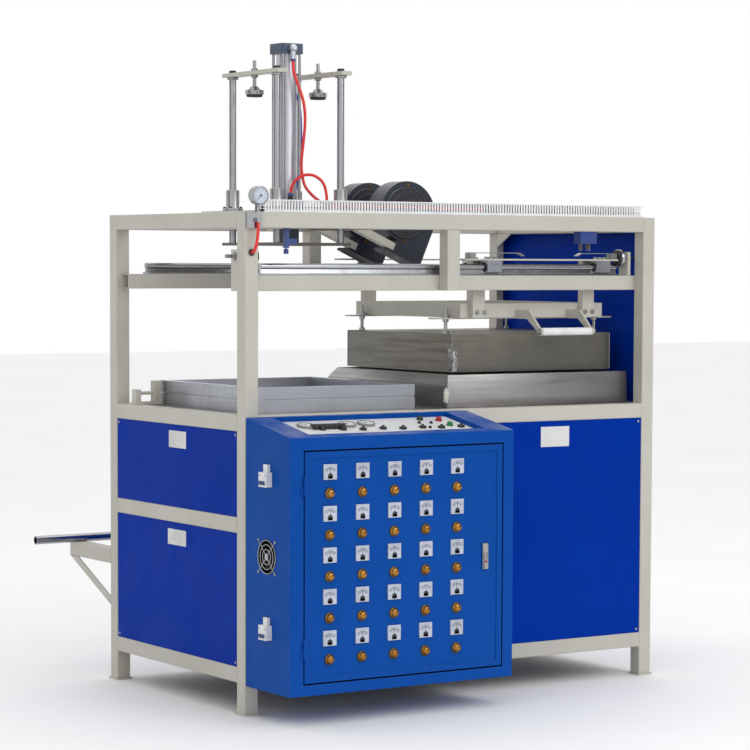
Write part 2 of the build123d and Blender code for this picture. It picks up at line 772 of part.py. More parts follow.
def hanging_frame():
    """Ring of bars under the straps, two long flats below it, and the two bent arms of the handle."""
    height = (RING_BOTTOM, RING_BOTTOM + RING_HEIGHT)
    ring = block((RING_LEFT, RING_RIGHT), RING_YS, height) - block(
        (RING_LEFT + RING_BAR, RING_RIGHT - RING_BAR), (RING_YS[0] + RING_BAR, RING_YS[1] - RING_BAR), height
    )
    xs, ys = rod_places()
    for y in ys:
        span = around(OVEN_X, OVEN_WIDTH + 2 * FLAT_OVERHANG)
        flat = block(span, around(y, FLAT_WIDTH), (RING_BOTTOM - FLAT_THICK, RING_BOTTOM))
        for x in xs:
            flat -= prism((x, y, RING_BOTTOM - 2 * FLAT_THICK), (x, y, RING_BOTTOM), ROD_HOLE_R, HEX)
        ring += flat
    front = RING_YS[0]
    grip_y = front - GRIP_REACH
    grip_z = RING_BOTTOM - GRIP_DROP
    arm_top = RING_BOTTOM + RING_HEIGHT - ARM_TOP_DROP
    arm_bottom = arm_top - ARM_HEIGHT
    bend_y = front - ARM_LEVEL
    slant = atan2(bend_y - grip_y, arm_top - grip_z)
    across = ARM_HEIGHT * sin(slant)
    arm_side = Polyline(
        (front, arm_top),
        (bend_y, arm_top),
        (grip_y - across / 2, grip_z),
        (grip_y, grip_z - across / 2),
        (bend_y + across / 2, arm_bottom),
        (front, arm_bottom),
        close=True,
    )
    profile = make_face(arm_side) + Pos(grip_y, grip_z) * RegularPolygon(GRIP_R, FLATS)
    for place in ARM_OFFSETS:
        ring += extrude(along_x(OVEN_X + place - ARM_THICK / 2, 0, 0) * profile, amount=ARM_THICK)
    return ring


def rod_places():
    """X and Y places of the four rods that carry the oven box."""
    xs = around(OVEN_X, OVEN_WIDTH - 2 * ROD_INSET_X)
    ys = around(MIDDLE_Y, OVEN_DEPTH - 2 * ROD_INSET_Y)
    return xs, ys


def hanging_rods():
    """Threaded rods with a nut above and below the flats and one on the box."""
    rods = []
    xs, ys = rod_places()
    for x in xs:
        for y in ys:
            rod = prism((x, y, OVEN_TOP), (x, y, RING_BOTTOM + ROD_TAIL), ROD_R, HEX)
            for z in (OVEN_TOP, RING_BOTTOM - FLAT_THICK - NUT_HEIGHT, RING_BOTTOM):
                rod += prism((x, y, z), (x, y, z + NUT_HEIGHT), NUT_R, HEX)
            rods.append(rod)
    return rods


def oven_box():
    """Sheet box, closed above and open below."""
    outside = block(around(OVEN_X, OVEN_WIDTH), around(MIDDLE_Y, OVEN_DEPTH), (OVEN_BOTTOM, OVEN_TOP))
    hollow = block(
        around(OVEN_X, OVEN_WIDTH - 2 * OVEN_SHEET),
        around(MIDDLE_Y, OVEN_DEPTH - 2 * OVEN_SHEET),
        (OVEN_BOTTOM, OVEN_TOP - OVEN_SHEET),
    )
    return outside - hollow


def heater_bank():
    """Square grid of ceramic tiles on a carrier sheet under the top of the box."""
    top = OVEN_TOP - OVEN_SHEET
    span = TILE_PITCH * (TILE_COUNT - 1) + TILE_SIZE
    bottom = top - CARRIER_THICK
    bank = block(around(OVEN_X, span), around(MIDDLE_Y, span), (bottom, top))
    for place in GridLocations(TILE_PITCH, TILE_PITCH, TILE_COUNT, TILE_COUNT):
        tile = Box(TILE_SIZE, TILE_SIZE, TILE_THICK, align=(Align.CENTER, Align.CENTER, Align.MAX))
        bank += Pos(OVEN_X, MIDDLE_Y, bottom) * place * tile
    return bank


def press():
    """Cylinder and bushings on their plate, and the guided platen with its rods and bars."""
    centre = Pos(PRESS_X, MIDDLE_Y, 0)
    rod_grid = GridLocations(ROD_SPACING_X, ROD_SPACING_Y, 2, 2)
    plate_top = HEIGHT + PLATE_THICK
    plate = extrude(Rectangle(PLATE_WIDTH, PLATE_DEPTH), amount=PLATE_THICK)
    for place in rod_grid:
        plate -= place * extrude(RegularPolygon(GUIDE_HOLE_R, FLATS), amount=PLATE_THICK)
    plate -= extrude(RegularPolygon(GUIDE_HOLE_R, FLATS), amount=PLATE_THICK)
    save("cylinder_plate", centre * Pos(0, 0, HEIGHT) * plate)

    bushing = extrude(RegularPolygon(BUSHING_R, FLATS), amount=BUSHING_HEIGHT)
    bushing += extrude(RegularPolygon(BUSHING_FLANGE_R, FLATS), amount=BUSHING_FLANGE)
    bushing -= extrude(Circle(GUIDE_R + BUSHING_FIT), amount=BUSHING_HEIGHT)
    save("guide_bushings", *[centre * place * Pos(0, 0, plate_top) * bushing for place in rod_grid])

    cylinder_with_caps(centre, plate_top)

    platen_top = PLATEN_BOTTOM + PLATEN_THICK
    coupling_top = platen_top + COUPLING_HEIGHT
    collar_z = TOP_BAR_Z - COLLAR_HEIGHT
    guides = [centre * place * cylinder((0, 0, platen_top), (0, 0, collar_z), GUIDE_R) for place in rod_grid]
    piston_top = CYLINDER_TOP - CYLINDER_CAP_HEIGHT - PISTON_GAP
    piston = centre * prism((0, 0, coupling_top), (0, 0, piston_top), PISTON_R)
    save("press_rods", *guides, piston)
    platen = extrude(Rectangle(PLATEN_WIDTH, PLATEN_DEPTH), amount=PLATEN_THICK)
    save("platen", centre * Pos(0, 0, PLATEN_BOTTOM) * platen)
    coupling = extrude(Rectangle(COUPLING_SIZE, COUPLING_SIZE), amount=COUPLING_HEIGHT)
    save("coupling_block", centre * Pos(0, 0, platen_top) * coupling)

    bar_top = TOP_BAR_Z + TOP_BAR_THICK
    collars = []
    for place in rod_grid:
        spot = centre * place
        collars.append(spot * prism((0, 0, collar_z), (0, 0, TOP_BAR_Z), COLLAR_R))
        collars.append(spot * prism((0, 0, bar_top), (0, 0, bar_top + NUT_HEIGHT), COLLAR_R, HEX))
    save("rod_collars", *collars)
    bars = []
    bumpers = []
    bumper_stud = PRESS_BUMPER_DROP + TOP_BAR_THICK + STUD_TAIL
    bumper_nuts = (PRESS_BUMPER_DROP - STUD_NUT, PRESS_BUMPER_DROP + TOP_BAR_THICK)
    for x in around(PRESS_X, ROD_SPACING_X):
        length = ROD_SPACING_Y + 2 * TOP_BAR_OVERHANG
        bar = block(around(x, TOP_BAR_WIDTH), around(MIDDLE_Y, length), (TOP_BAR_Z, bar_top))
        bars.append(bar - prism((x, MIDDLE_Y, TOP_BAR_Z), (x, MIDDLE_Y, bar_top), STUD_R, HEX))
        spot = Pos(x, MIDDLE_Y, TOP_BAR_Z - PRESS_BUMPER_DROP)
        bumpers.append(spot * bumper(HUB_LENGTH, bumper_stud, bumper_nuts))
    save("top_bars", *bars)
    save("press_bumpers", *bumpers)


def cylinder_with_caps(centre, plate_top):
    """Air cylinder of a round barrel and four tie rods between two square caps."""
    outline = Rectangle(CYLINDER_CAP, CYLINDER_CAP)
    cap = extrude(chamfer(outline.vertices(), CAP_CORNER), amount=CYLINDER_CAP_HEIGHT)
    lower_cap = cap - extrude(RegularPolygon(GUIDE_HOLE_R, FLATS), amount=CYLINDER_CAP_HEIGHT)
    barrel_end = CYLINDER_TOP - CYLINDER_CAP_HEIGHT
    save("cylinder_caps", centre * Pos(0, 0, plate_top) * lower_cap, centre * Pos(0, 0, barrel_end) * cap)

    barrel_start = plate_top + CYLINDER_CAP_HEIGHT
    length = barrel_end - barrel_start
    wall = RegularPolygon(BARREL_R, 2 * FLATS) - RegularPolygon(BARREL_R - BARREL_WALL, 2 * FLATS)
    barrel = extrude(wall, amount=length)
    ties = [
        place * extrude(RegularPolygon(TIE_R, HEX), amount=length)
        for place in GridLocations(TIE_SPACING, TIE_SPACING, 2, 2)
    ]
    lift = centre * Pos(0, 0, barrel_start)
    save("cylinder_barrel", lift * barrel, *[lift * tie for tie in ties])


def blowers():
    """Two centrifugal blowers, each hung by a sloping bar on the flange of its outlet."""
    housings = []
    bars = []
    outline = volute()
    outlet_right = VOLUTE_R + VOLUTE_GROWTH
    flange_xs = (OUTLET_LEFT - FLANGE_OVERHANG, outlet_right + FLANGE_OVERHANG)
    flange = Pos(sum(flange_xs) / 2, -OUTLET_REACH - FLANGE_THICK / 2) * Rectangle(
        flange_xs[1] - flange_xs[0], FLANGE_THICK
    )
    bar_length = BLOWER_X - PRESS_X
    bar = Pos(OUTLET_LEFT - PANEL_GAP - bar_length / 2, BLOWER_BAR / 2 - OUTLET_REACH) * Rectangle(
        bar_length, BLOWER_BAR
    )
    rail_face = PRESS_X + PLATE_WIDTH / 2
    tilt = Rot(0, 0, -BLOWER_TILT)
    for y in BLOWER_YS:
        face = Plane(origin=(BLOWER_X, y, BLOWER_Z), x_dir=(1, 0, 0), z_dir=(0, -1, 0))
        housing = extrude(face * tilt * (outline + flange), amount=-BLOWER_DEPTH)
        housing += extrude(face * RegularPolygon(INLET_R, 2 * FLATS), amount=INLET_PROUD)
        back = face.offset(-BLOWER_DEPTH)
        housings.append(housing + extrude(back * RegularPolygon(MOTOR_R, FLATS), amount=-MOTOR_LENGTH))
        start = face.offset(-BLOWER_BAR_SETBACK)
        slope = extrude(start * tilt * bar, amount=-BLOWER_BAR_DEPTH)
        room = block((rail_face, BLOWER_X), around(y, 2 * BLOWER_DEPTH), (BEAM_TOP, HEIGHT))
        bars.append(slope & room)
    save("blowers", *housings)
    save("blower_bars", *bars)


def volute():
    """Outline of a blower from its outlet, which points down, round the fan to the tongue."""
    curve = []
    for index in range(VOLUTE_POINTS + 1):
        share = index / VOLUTE_POINTS
        turn = radians(VOLUTE_SWEEP * share)
        radius = VOLUTE_R + VOLUTE_GROWTH * (1 - share) ** 2
        curve.append((radius * cos(turn), radius * sin(turn)))
    outlet_right = (VOLUTE_R + VOLUTE_GROWTH, -OUTLET_REACH)
    outlet_left = (OUTLET_LEFT, -OUTLET_REACH)
    edges = [ThreePointArc(*curve[index : index + 3]) for index in range(0, VOLUTE_POINTS, 2)]
    return make_face([*edges, Polyline(curve[-1], outlet_left, outlet_right, curve[0])])


def cabinet():
    """Sheet metal control cabinet with a sloping top, a door opening and things on its left side."""
    back = FRONT
    front = FRONT - CABINET_DEPTH
    section = Polyline(
        (front, CABINET_BOTTOM),
        (back, CABINET_BOTTOM),
        (back, CABINET_BACK_TOP),
        (front, CABINET_FRONT_TOP),
        close=True,
    )
    width = CABINET_RIGHT - CABINET_LEFT
    outside = extrude(along_x(CABINET_LEFT, 0, 0) * make_face(section), amount=width)
    inner = extrude(
        along_x(FAN_FACE, 0, 0) * offset(make_face(section), amount=-CABINET_SHEET, kind=Kind.INTERSECTION),
        amount=width - 2 * CABINET_SHEET,
    )
    doorway = block(
        (DOOR_LEFT - DOOR_GAP, DOOR_RIGHT + DOOR_GAP),
        (front, front + 2 * CABINET_SHEET),
        (DOOR_BOTTOM - DOOR_GAP, DOOR_TOP + DOOR_GAP),
    )
    shell = outside - inner - doorway

    slope = atan2(CABINET_BACK_TOP - CABINET_FRONT_TOP, CABINET_DEPTH)
    mean_top = (CABINET_BACK_TOP + CABINET_FRONT_TOP) / 2
    middle = Vector((CABINET_LEFT + CABINET_RIGHT) / 2, (front + back) / 2, mean_top)
    middle += (WELL_FRONT - WELL_BACK) / 2 * Vector(0, cos(slope), sin(slope))
    top_plane = Plane(origin=middle, x_dir=(1, 0, 0), z_dir=(0, -sin(slope), cos(slope)))
    well_size = (width - 2 * WELL_SIDE, CABINET_DEPTH / cos(slope) - WELL_FRONT - WELL_BACK)
    well = extrude(top_plane * Rectangle(*well_size), amount=-WELL_DEPTH)
    pan_size = [size + 2 * CABINET_SHEET for size in well_size]
    pan = extrude(top_plane * Rectangle(*pan_size), amount=-WELL_DEPTH - CABINET_SHEET)
    shell = shell + pan - well
    shell -= prism((CABINET_LEFT, FAN_Y, FAN_Z), (FAN_FACE, FAN_Y, FAN_Z), FAN_BORE_R, 2 * FLATS)
    hinge_x = DOOR_LEFT - DOOR_GAP / 2
    for z in hinge_heights():
        low = (z - HINGE_HALF, z - HINGE_PLAY)
        shell += hinge_knuckle(low)
        shell += block((hinge_x - HINGE_WING, hinge_x), (front - HINGE_WING_THICK, front), low)
        hinge_y = front - HINGE_R
        shell += cylinder((hinge_x, hinge_y, low[1]), (hinge_x, hinge_y, z + HINGE_HALF), HINGE_PIN_R)
    save("cabinet_shell", shell)

    plate_size = [size - 2 * INSTRUMENT_GAP for size in well_size]
    plate = extrude(top_plane.offset(-WELL_DEPTH) * Rectangle(*plate_size), amount=INSTRUMENT_THICK)
    save("instrument_panel", plate)

    breakers = []
    y = FRONT - BREAKER_INSET
    for z in BREAKER_ZS:
        top = z + BREAKER_SIZE / 2
        outer = (CABINET_LEFT - BREAKER_PROUD, CABINET_LEFT)
        body = block(outer, around(y, BREAKER_SIZE), around(z, BREAKER_SIZE))
        clamp_x = (CABINET_LEFT - CABLE_CLAMP_PROUD, CABINET_LEFT)
        breakers.append(body + block(clamp_x, around(y, CABLE_CLAMP), (top, top + CABLE_CLAMP)))
    save("circuit_breakers", *breakers)
    fan()


def hinge_heights():
    """Heights of the middles of the two hinges."""
    return (DOOR_BOTTOM + HINGE_INSET, DOOR_TOP - HINGE_INSET)


def hinge_knuckle(height):
    """Knuckle of a hinge between two heights, on the hinge line in front of the cabinet."""
    x = DOOR_LEFT - DOOR_GAP / 2
    y = FRONT - CABINET_DEPTH - HINGE_R
    return cylinder((x, y, height[0]), (x, y, height[1]), HINGE_R)


def fan():
    """Square fan frame inside the sheet, its wire guard outside, and the rotor that turns between them."""
    spot = (FAN_Y, FAN_Z)
    back = FAN_FACE + FAN_DEPTH
    housing = block((FAN_FACE, back), around(FAN_Y, FAN_SIZE), around(FAN_Z, FAN_SIZE))
    housing -= prism((FAN_FACE, *spot), (back, *spot), FAN_BORE_R, 2 * FLATS)
    struts = block((back - FAN_STRUT, back), around(FAN_Y, FAN_SIZE), around(FAN_Z, 2 * FAN_STRUT))
    struts += block((back - FAN_STRUT, back), around(FAN_Y, 2 * FAN_STRUT), around(FAN_Z, FAN_SIZE))
    housing += struts
    housing += prism((back - FAN_STRUT, *spot), (back, *spot), FAN_HUB_R)
    housing += prism((ROTOR_START, *spot), (back, *spot), FAN_PIN_R)
    save("fan_frame", housing)

    wire_x = CABINET_LEFT - GUARD_WIRE
    guard = prism((wire_x, *spot), (CABINET_LEFT, *spot), GUARD_HUB_R)
    for radius in GUARD_RINGS:
        ring = RegularPolygon(radius + GUARD_WIRE / 2, GUARD_FLATS) - RegularPolygon(
            radius - GUARD_WIRE / 2, GUARD_FLATS
        )
        guard += extrude(along_x(wire_x, *spot) * ring, amount=GUARD_WIRE)
    for turn in (45, 135):
        spoke = Rot(turn, 0, 0) * block((0, GUARD_WIRE), around(0, 2 * GUARD_REACH), around(0, GUARD_WIRE))
        guard += Pos(wire_x, *spot) * spoke
    save("fan_guard", guard)

    rotor = prism((ROTOR_START, *spot), (ROTOR_END, *spot), FAN_HUB_R, 2 * FLATS)
    sweep = prism((ROTOR_START, *spot), (ROTOR_END, *spot), FAN_BORE_R - FAN_GAP, 2 * FLATS)
    blade = Rot(0, 0, FAN_BLADE_PITCH) * Box(
        ROTOR_END - ROTOR_START, FAN_BLADE_THICK, FAN_BORE_R, align=(Align.CENTER, Align.CENTER, Align.MIN)
    )
    middle = Pos((ROTOR_START + ROTOR_END) / 2, *spot)
    for index in range(FAN_BLADES):
        rotor += (middle * Rot(360 / FAN_BLADES * index, 0, 0) * blade) & sweep
    rotor -= cylinder((ROTOR_START, *spot), (ROTOR_END, *spot), FAN_PIN_R + SLIDE_GAP)
    save("fan_rotor", rotor)


def door():
    """Door leaf with a shallow recess, meters, knobs, lock and its halves of the hinges."""
    front = FRONT - CABINET_DEPTH
    leaf = block((DOOR_LEFT, DOOR_RIGHT), (front, front + DOOR_THICK), (DOOR_BOTTOM, DOOR_TOP))
    edge = DOOR_RECESS_EDGE
    leaf -= block(
        (DOOR_LEFT + edge, DOOR_RIGHT - edge),
        (front, front + DOOR_RECESS),
        (DOOR_BOTTOM + edge, DOOR_TOP - edge),
    )
    leaf -= block(
        (DOOR_LEFT + SHEET, DOOR_RIGHT - SHEET),
        (front + DOOR_RECESS + SHEET, front + DOOR_THICK),
        (DOOR_BOTTOM + SHEET, DOOR_TOP - SHEET),
    )
    hinge_x = DOOR_LEFT - DOOR_GAP / 2
    hinge_y = front - HINGE_R
    for z in hinge_heights():
        height = (z, z + HINGE_HALF)
        leaf += hinge_knuckle(height)
        leaf += block((hinge_x, hinge_x + HINGE_WING), (front - HINGE_WING_THICK, front), height)
        leaf -= cylinder((hinge_x, hinge_y, height[0]), (hinge_x, hinge_y, height[1]), HINGE_PIN_R + PIN_GAP)
    save("door_leaf", leaf)

    face = front + DOOR_RECESS
    meters = []
    knobs = []
    knob = extrude(RegularPolygon(KNOB_R, KNOB_FLATS), amount=KNOB_HEIGHT, taper=KNOB_TAPER)
    for column in range(METER_COLUMNS):
        for row in range(METER_ROWS):
            x = METER_LEFT + column * METER_PITCH_X
            z = METER_TOP - row * METER_PITCH_Z
            meters.append(block(around(x, METER_SIZE), (face - METER_PROUD, face), around(z, METER_SIZE)))
            knobs.append(Plane(origin=(x, face, z - KNOB_DROP), z_dir=(0, -1, 0)) * knob)
    save("panel_meters", *meters)
    save("knobs", *knobs)
    lock_z = (DOOR_BOTTOM + DOOR_TOP) / 2
    lock = block(
        around(DOOR_RIGHT - LOCK_INSET, LOCK_WIDTH), (face - LOCK_PROUD, face), around(lock_z, LOCK_HEIGHT)
    )
    save("door_lock", lock)


def film_roll():
    """Pipe for the roll of film, resting in notches near the tips of two braced arms."""
    save("pipe_brackets", *[pipe_bracket(x) for x in POST_XS])
    start = Plane(origin=(LEFT - PIPE_OVERHANG, PIPE_Y, PIPE_Z), z_dir=(1, 0, 0))
    wall = Circle(PIPE_R) - Circle(PIPE_R - PIPE_WALL)
    save("film_pipe", extrude(start * wall, amount=LENGTH + 2 * PIPE_OVERHANG))


def pipe_bracket(x):
    """Arm of square tube with a plugged tip, and an angle iron that braces it against the post."""
    bottom = ARM_TOP - TUBE
    arm = tube((x, REAR, ARM_TOP - HALF), (x, ARM_TIP, ARM_TOP - HALF))
    inside = TUBE - 2 * TUBE_WALL
    arm += block(around(x, inside), (ARM_TIP - ARM_PLUG, ARM_TIP), around(ARM_TOP - HALF, inside))
    arm -= cylinder((x - TUBE, PIPE_Y, PIPE_Z), (x + TUBE, PIPE_Y, PIPE_Z), PIPE_R + SLIDE_GAP)
    slope = atan2(BRACE_DROP, ARM_REACH)
    side = along_x(x - HALF, 0, 0)
    outer = extrude(side * brace_strip(bottom, slope, 0, BRACE_SIZE), amount=BRACE_SIZE)
    inside_angle = side.offset(BRACE_WALL) * brace_strip(bottom, slope, BRACE_WALL, 2 * BRACE_SIZE)
    inner = extrude(inside_angle, amount=BRACE_SIZE)
    return arm + (outer - inner)


def brace_strip(bottom, slope, low, high):
    """Side view of the part of a brace between two distances from its lower edge."""
    rise = 1 / cos(slope)
    run = 1 / sin(slope)
    foot = bottom - BRACE_DROP
    return make_face(
        Polyline(
            (REAR, foot + low * rise),
            (ARM_TIP - low * run, bottom),
            (ARM_TIP - high * run, bottom),
            (REAR, foot + high * rise),
            close=True,
        )
    )


def small_fittings():
    """Wiring duct, vacuum gauge, hand valve and air preparation unit."""
    duct_length = (DUCT_LEFT, DUCT_RIGHT)
    duct = block(duct_length, around(0, DUCT_SIZE), (HEIGHT, HEIGHT + DUCT_SIZE))
    channel = around(0, DUCT_SIZE - 2 * DUCT_WALL)
    duct -= block(duct_length, channel, (HEIGHT + DUCT_WALL, HEIGHT + DUCT_SIZE - DUCT_WALL))
    save("wiring_duct", duct)

    block_front = FRONT - GAUGE_BLOCK_DEPTH
    block_top = HEIGHT - GAUGE_BLOCK_DROP + GAUGE_BLOCK_HEIGHT
    gauge = block(GAUGE_BLOCK_XS, (block_front, FRONT), (block_top - GAUGE_BLOCK_HEIGHT, block_top))
    port_bottom = HEIGHT - GAUGE_PORT_DROP
    port_y = (block_front - GAUGE_PORT, block_front)
    port = block(around(GAUGE_PORT_X, GAUGE_PORT), port_y, (port_bottom, port_bottom + GAUGE_PORT))
    dial_y = (block_front - GAUGE_DEPTH / 2, block_front + GAUGE_DEPTH / 2)
    dial_z = HEIGHT + GAUGE_RISE
    stem_y = block_front + GAUGE_STEM_R
    stem = prism((GAUGE_X, stem_y, block_top), (GAUGE_X, stem_y, dial_z), GAUGE_STEM_R, HEX)
    dial = prism((GAUGE_X, dial_y[1], dial_z), (GAUGE_X, dial_y[0], dial_z), GAUGE_R, 2 * FLATS)
    save("vacuum_gauge", gauge + port + stem + dial)

    rail_bottom = HEIGHT - TUBE
    valve_right = VALVE_X + VALVE_BAR / 2
    half_bar = VALVE_BAR / 2
    bar_bottom = rail_bottom - VALVE_BAR_LENGTH
    valve = block(around(VALVE_X, VALVE_BAR), (-half_bar, half_bar), (bar_bottom, rail_bottom))
    body_z = (rail_bottom - VALVE_BODY_ZS[1], rail_bottom - VALVE_BODY_ZS[0])
    valve += block((valve_right, valve_right + VALVE_BODY), (-half_bar, half_bar), body_z)
    knob_top = bar_bottom - VALVE_STEM_R
    valve += prism((VALVE_X, 0, knob_top - 2 * VALVE_KNOB_R), (VALVE_X, 0, knob_top), VALVE_KNOB_R)
    valve += prism((VALVE_X, 0, knob_top), (VALVE_X, 0, bar_bottom), VALVE_STEM_R)
    save("hand_valve", valve)

    unit_bottom = rail_bottom - AIR_UNIT_HEIGHT
    unit_x = around(AIR_UNIT_X, AIR_UNIT_SIZE)
    unit = block(unit_x, around(0, AIR_UNIT_DEPTH), (unit_bottom, rail_bottom))
    port_x = (unit_x[1], unit_x[1] + AIR_PORT)
    unit += block(port_x, around(0, AIR_PORT), around(rail_bottom - AIR_PORT, AIR_PORT))
    for offset_x, width in BOWLS:
        x = AIR_UNIT_X + offset_x
        unit += prism((x, 0, unit_bottom - BOWL_LENGTH), (x, 0, unit_bottom), width / 2)
    save("air_unit", unit)


def hose(name, points, radius):
    """Hose along straight runs with an arc at each point between them, each as wide as its runs allow."""
    route = [Vector(*point) for point in points]
    runs = [after - before for before, after in zip(route, route[1:])]
    bends = []
    for before, after in zip(runs, runs[1:]):
        half_turn = radians(before.get_angle(after)) / 2
        bends.append(0.45 * min(before.length, after.length) / tan(half_turn))
    path = FilletPolyline(*points, radius=bends)
    start = Plane(origin=path @ 0, z_dir=path % 0)
    body = sweep(start * RegularPolygon(radius, FLATS // 2), path=path)
    expected = RegularPolygon(radius, FLATS // 2).area * path.length
    print(name, "length", round(path.length, 1), "volume", round(body.volume / expected, 4))
    print("bend radii", [round(bend) for bend in bends])
    save(name, body)


def placed(points, corner):
    """The points of a hose, moved to the corner that they are measured from."""
    return [tuple(Vector(*point) + Vector(*corner)) for point in points]


def hoses():
    """Air hoses of the cylinder and the gauge, their fittings and the valve block."""
    press_top = (PRESS_X, MIDDLE_Y, HEIGHT)
    long_hose = placed(LONG_HOSE, press_top)
    loop_hose = placed(LOOP_HOSE, press_top)
    blue_hose = placed(BLUE_HOSE, press_top)
    gauge_hose = placed(GAUGE_HOSE, (0, FRONT, HEIGHT))
    hose("hose_long", long_hose, HOSE_R)
    hose("hose_loop", loop_hose, HOSE_R)
    hose("hose_blue", blue_hose, BLUE_HOSE_R)
    hose("gauge_hose", gauge_hose, HOSE_R)

    plate_top = HEIGHT + PLATE_THICK
    block_x = around(PRESS_X + VALVE_BLOCK_X, VALVE_BLOCK_SIZE[0])
    block_y = around(MIDDLE_Y + VALVE_BLOCK_Y, VALVE_BLOCK_SIZE[1])
    valve_block = block(block_x, block_y, (plate_top, plate_top + VALVE_BLOCK_HEIGHT))
    port = Vector(*long_hose[-1])
    heading = (port - Vector(*long_hose[-2])).normalized()
    valve_block += prism(tuple(port), tuple(port + PORT_FITTING * heading), FITTING_R)
    save("valve_block", valve_block)

    cap_half = CYLINDER_CAP / 2
    fittings = [
        elbow(long_hose[0], MIDDLE_Y - cap_half, 1),
        elbow(loop_hose[0], MIDDLE_Y - cap_half, -1),
        elbow(blue_hose[0], MIDDLE_Y + cap_half, 1),
    ]
    for x, y, z in (loop_hose[-1], blue_hose[-1]):
        fittings.append(prism((x, y, plate_top), (x, y, z), FITTING_R))
    x, y, z = gauge_hose[-1]
    grommet = prism((x, FRONT, z), (x, FRONT - GROMMET_THICK, z), GROMMET_R)
    grommet -= prism((x, FRONT, z), (x, FRONT - GROMMET_THICK, z), GROMMET_BORE_R)
    fittings.append(grommet)
    save("hose_fittings", *fittings)


def elbow(mouth, face_y, upward):
    """Elbow fitting that opens at a hose's end and screws into a cap; upward is its side of that end."""
    x, y, z = mouth
    far = z + upward * FITTING_SPAN
    neck_z = far - upward * FITTING_R
    neck = prism((x, y, neck_z), (x, face_y, neck_z), FITTING_R, HEX)
    return prism((x, y, z), (x, y, far), FITTING_R) + neck


frame()
panels()
table()
rails_and_stops()
oven_carriage()
press()
blowers()
cabinet()
door()
film_roll()
small_fittings()
hoses()
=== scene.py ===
"""Looks of a blister forming machine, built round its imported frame.

Metres, +Z up, +X to the right along the front, +Y to the back.
The origin is on the floor under the middle of the front left post.
"""

import math
import random

import bpy
from mathutils import Matrix, Vector


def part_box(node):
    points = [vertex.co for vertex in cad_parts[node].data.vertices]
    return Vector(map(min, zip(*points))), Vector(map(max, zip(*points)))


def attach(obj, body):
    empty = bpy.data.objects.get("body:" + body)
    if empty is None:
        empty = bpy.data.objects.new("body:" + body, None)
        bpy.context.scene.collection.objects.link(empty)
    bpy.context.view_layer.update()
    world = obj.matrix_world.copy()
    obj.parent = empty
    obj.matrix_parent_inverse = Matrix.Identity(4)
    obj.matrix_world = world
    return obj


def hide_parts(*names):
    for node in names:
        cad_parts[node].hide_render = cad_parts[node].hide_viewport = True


# Rounding of sharp edges in the shading
EDGE_ROUNDING = 0.0012

# Directions
UP = (0, 0, 1)
DOWN = (0, 0, -1)
FORWARD = (0, -1, 0)
BACKWARD = (0, 1, 0)
LEFTWARD = (-1, 0, 0)
RIGHTWARD = (1, 0, 0)

# Nodes with a finish of their own within their slot
OWN_LOOKS = {"oven_tray": "tray_steel", "frame_adjuster": "frame_paint"}

# Door: meters, knobs
METER_SIZE = 0.048
METER_PROUD = 0.006
METER_COLUMNS = 5
METER_ROWS = 5
METER_BORDER = 0.003
METER_SINK = 0.0012
METER_GLASS = 0.0011
METER_ARCS = (0.017, 0.0205, 0.024)
METER_ARC_SWEEP = (35, 145)
METER_PIVOT_Z = -0.009
METER_LINE_R = 0.0005
METER_NEEDLE = ((-0.0006, -0.0003, -0.004), (0.0006, 0, 0.015))
SHROUD_R = 0.0085
SHROUD_Z = -0.0125
SHROUD_PROUD = 0.0016
KNOB_R = 0.015
LATCH = ((-0.006, -0.003, -0.036), (0.006, 0.001, 0.012))
LATCH_SINK = (0.003, 0.001)
LATCH_BUTTON_DROP = 0.059

# Instruments in the cabinet's top, as places in plan on the sloped panel, read off the photo
INSTRUMENT_THICK = 0.003
PANEL_SLOPE = math.atan2(50, 270)
DIALS = ((0.1517, -0.1067), (0.3049, -0.1077), (0.3797, -0.1039))
CONNECTOR = ((-0.0095, -0.014, -0.002), (0.0095, 0.014, 0.015))
CONNECTORS = 6
CONNECTOR_X = (0.168, 0.265)
CONNECTOR_Y = -0.134
SWITCH_BASE = ((-0.009, -0.009, -0.002), (0.009, 0.009, 0.008))
SWITCH_LEVER = ((-0.004, -0.004, 0), (0.004, 0.002, 0.013))
SWITCHES = (
    (0.1858, -0.1507), (0.2566, -0.1600), (0.3262, -0.1691), (0.4043, -0.1661),
    (0.4751, -0.1753), (0.5529, -0.1720), (0.6212, -0.1809), (0.7005, -0.1776),
)
NEEDLE_LIFT = 0.0068
NEEDLE_RUN = (-0.012, 0.014, 0.0026)
NEEDLE_R = 0.0008
LAMP = (0.611, -0.0703)
SMALL_CAPS = ((0.580, -0.113), (0.580, -0.1755), (0.6234, -0.1172))
RED_BUTTON = (0.6724, -0.089)
GREEN_BUTTON = (0.6733, -0.1523)

# Side of the cabinet: breakers and the fan's guard
BREAKER_SIZE = 0.046
CABLE_CLAMP = 0.024
TOGGLE = ((-0.005, -0.0035, -0.006), (0.001, 0.0035, 0.006))
TOGGLE_PITCH = 0.0115
TOGGLE_DROP = 0.010
BREAKER_SCREW_OFFSET = (0.016, 0.013)
GUARD_WIRE = 0.0015
GUARD_RINGS = (0.024, 0.039, 0.053)
GUARD_START = 0.008
GUARD_REACH = 0.072
GUARD_SCREW_SHIFT = (0.001, 0, 0)

# Blank labels: lowest and highest corners, as (y, z) on the left side and (x, z) on the front,
# read off the photo
LABEL_THICK = 0.0004
SCREW_INSET = 0.012
SIDE_LABELS = (
    ((0.3620, 0.8291), (0.4780, 0.8852)),
    ((0.3629, 0.5059), (0.4860, 0.5580)),
)
FRONT_LABEL = ((1.1408, 0.8175), (1.2608, 0.8864))

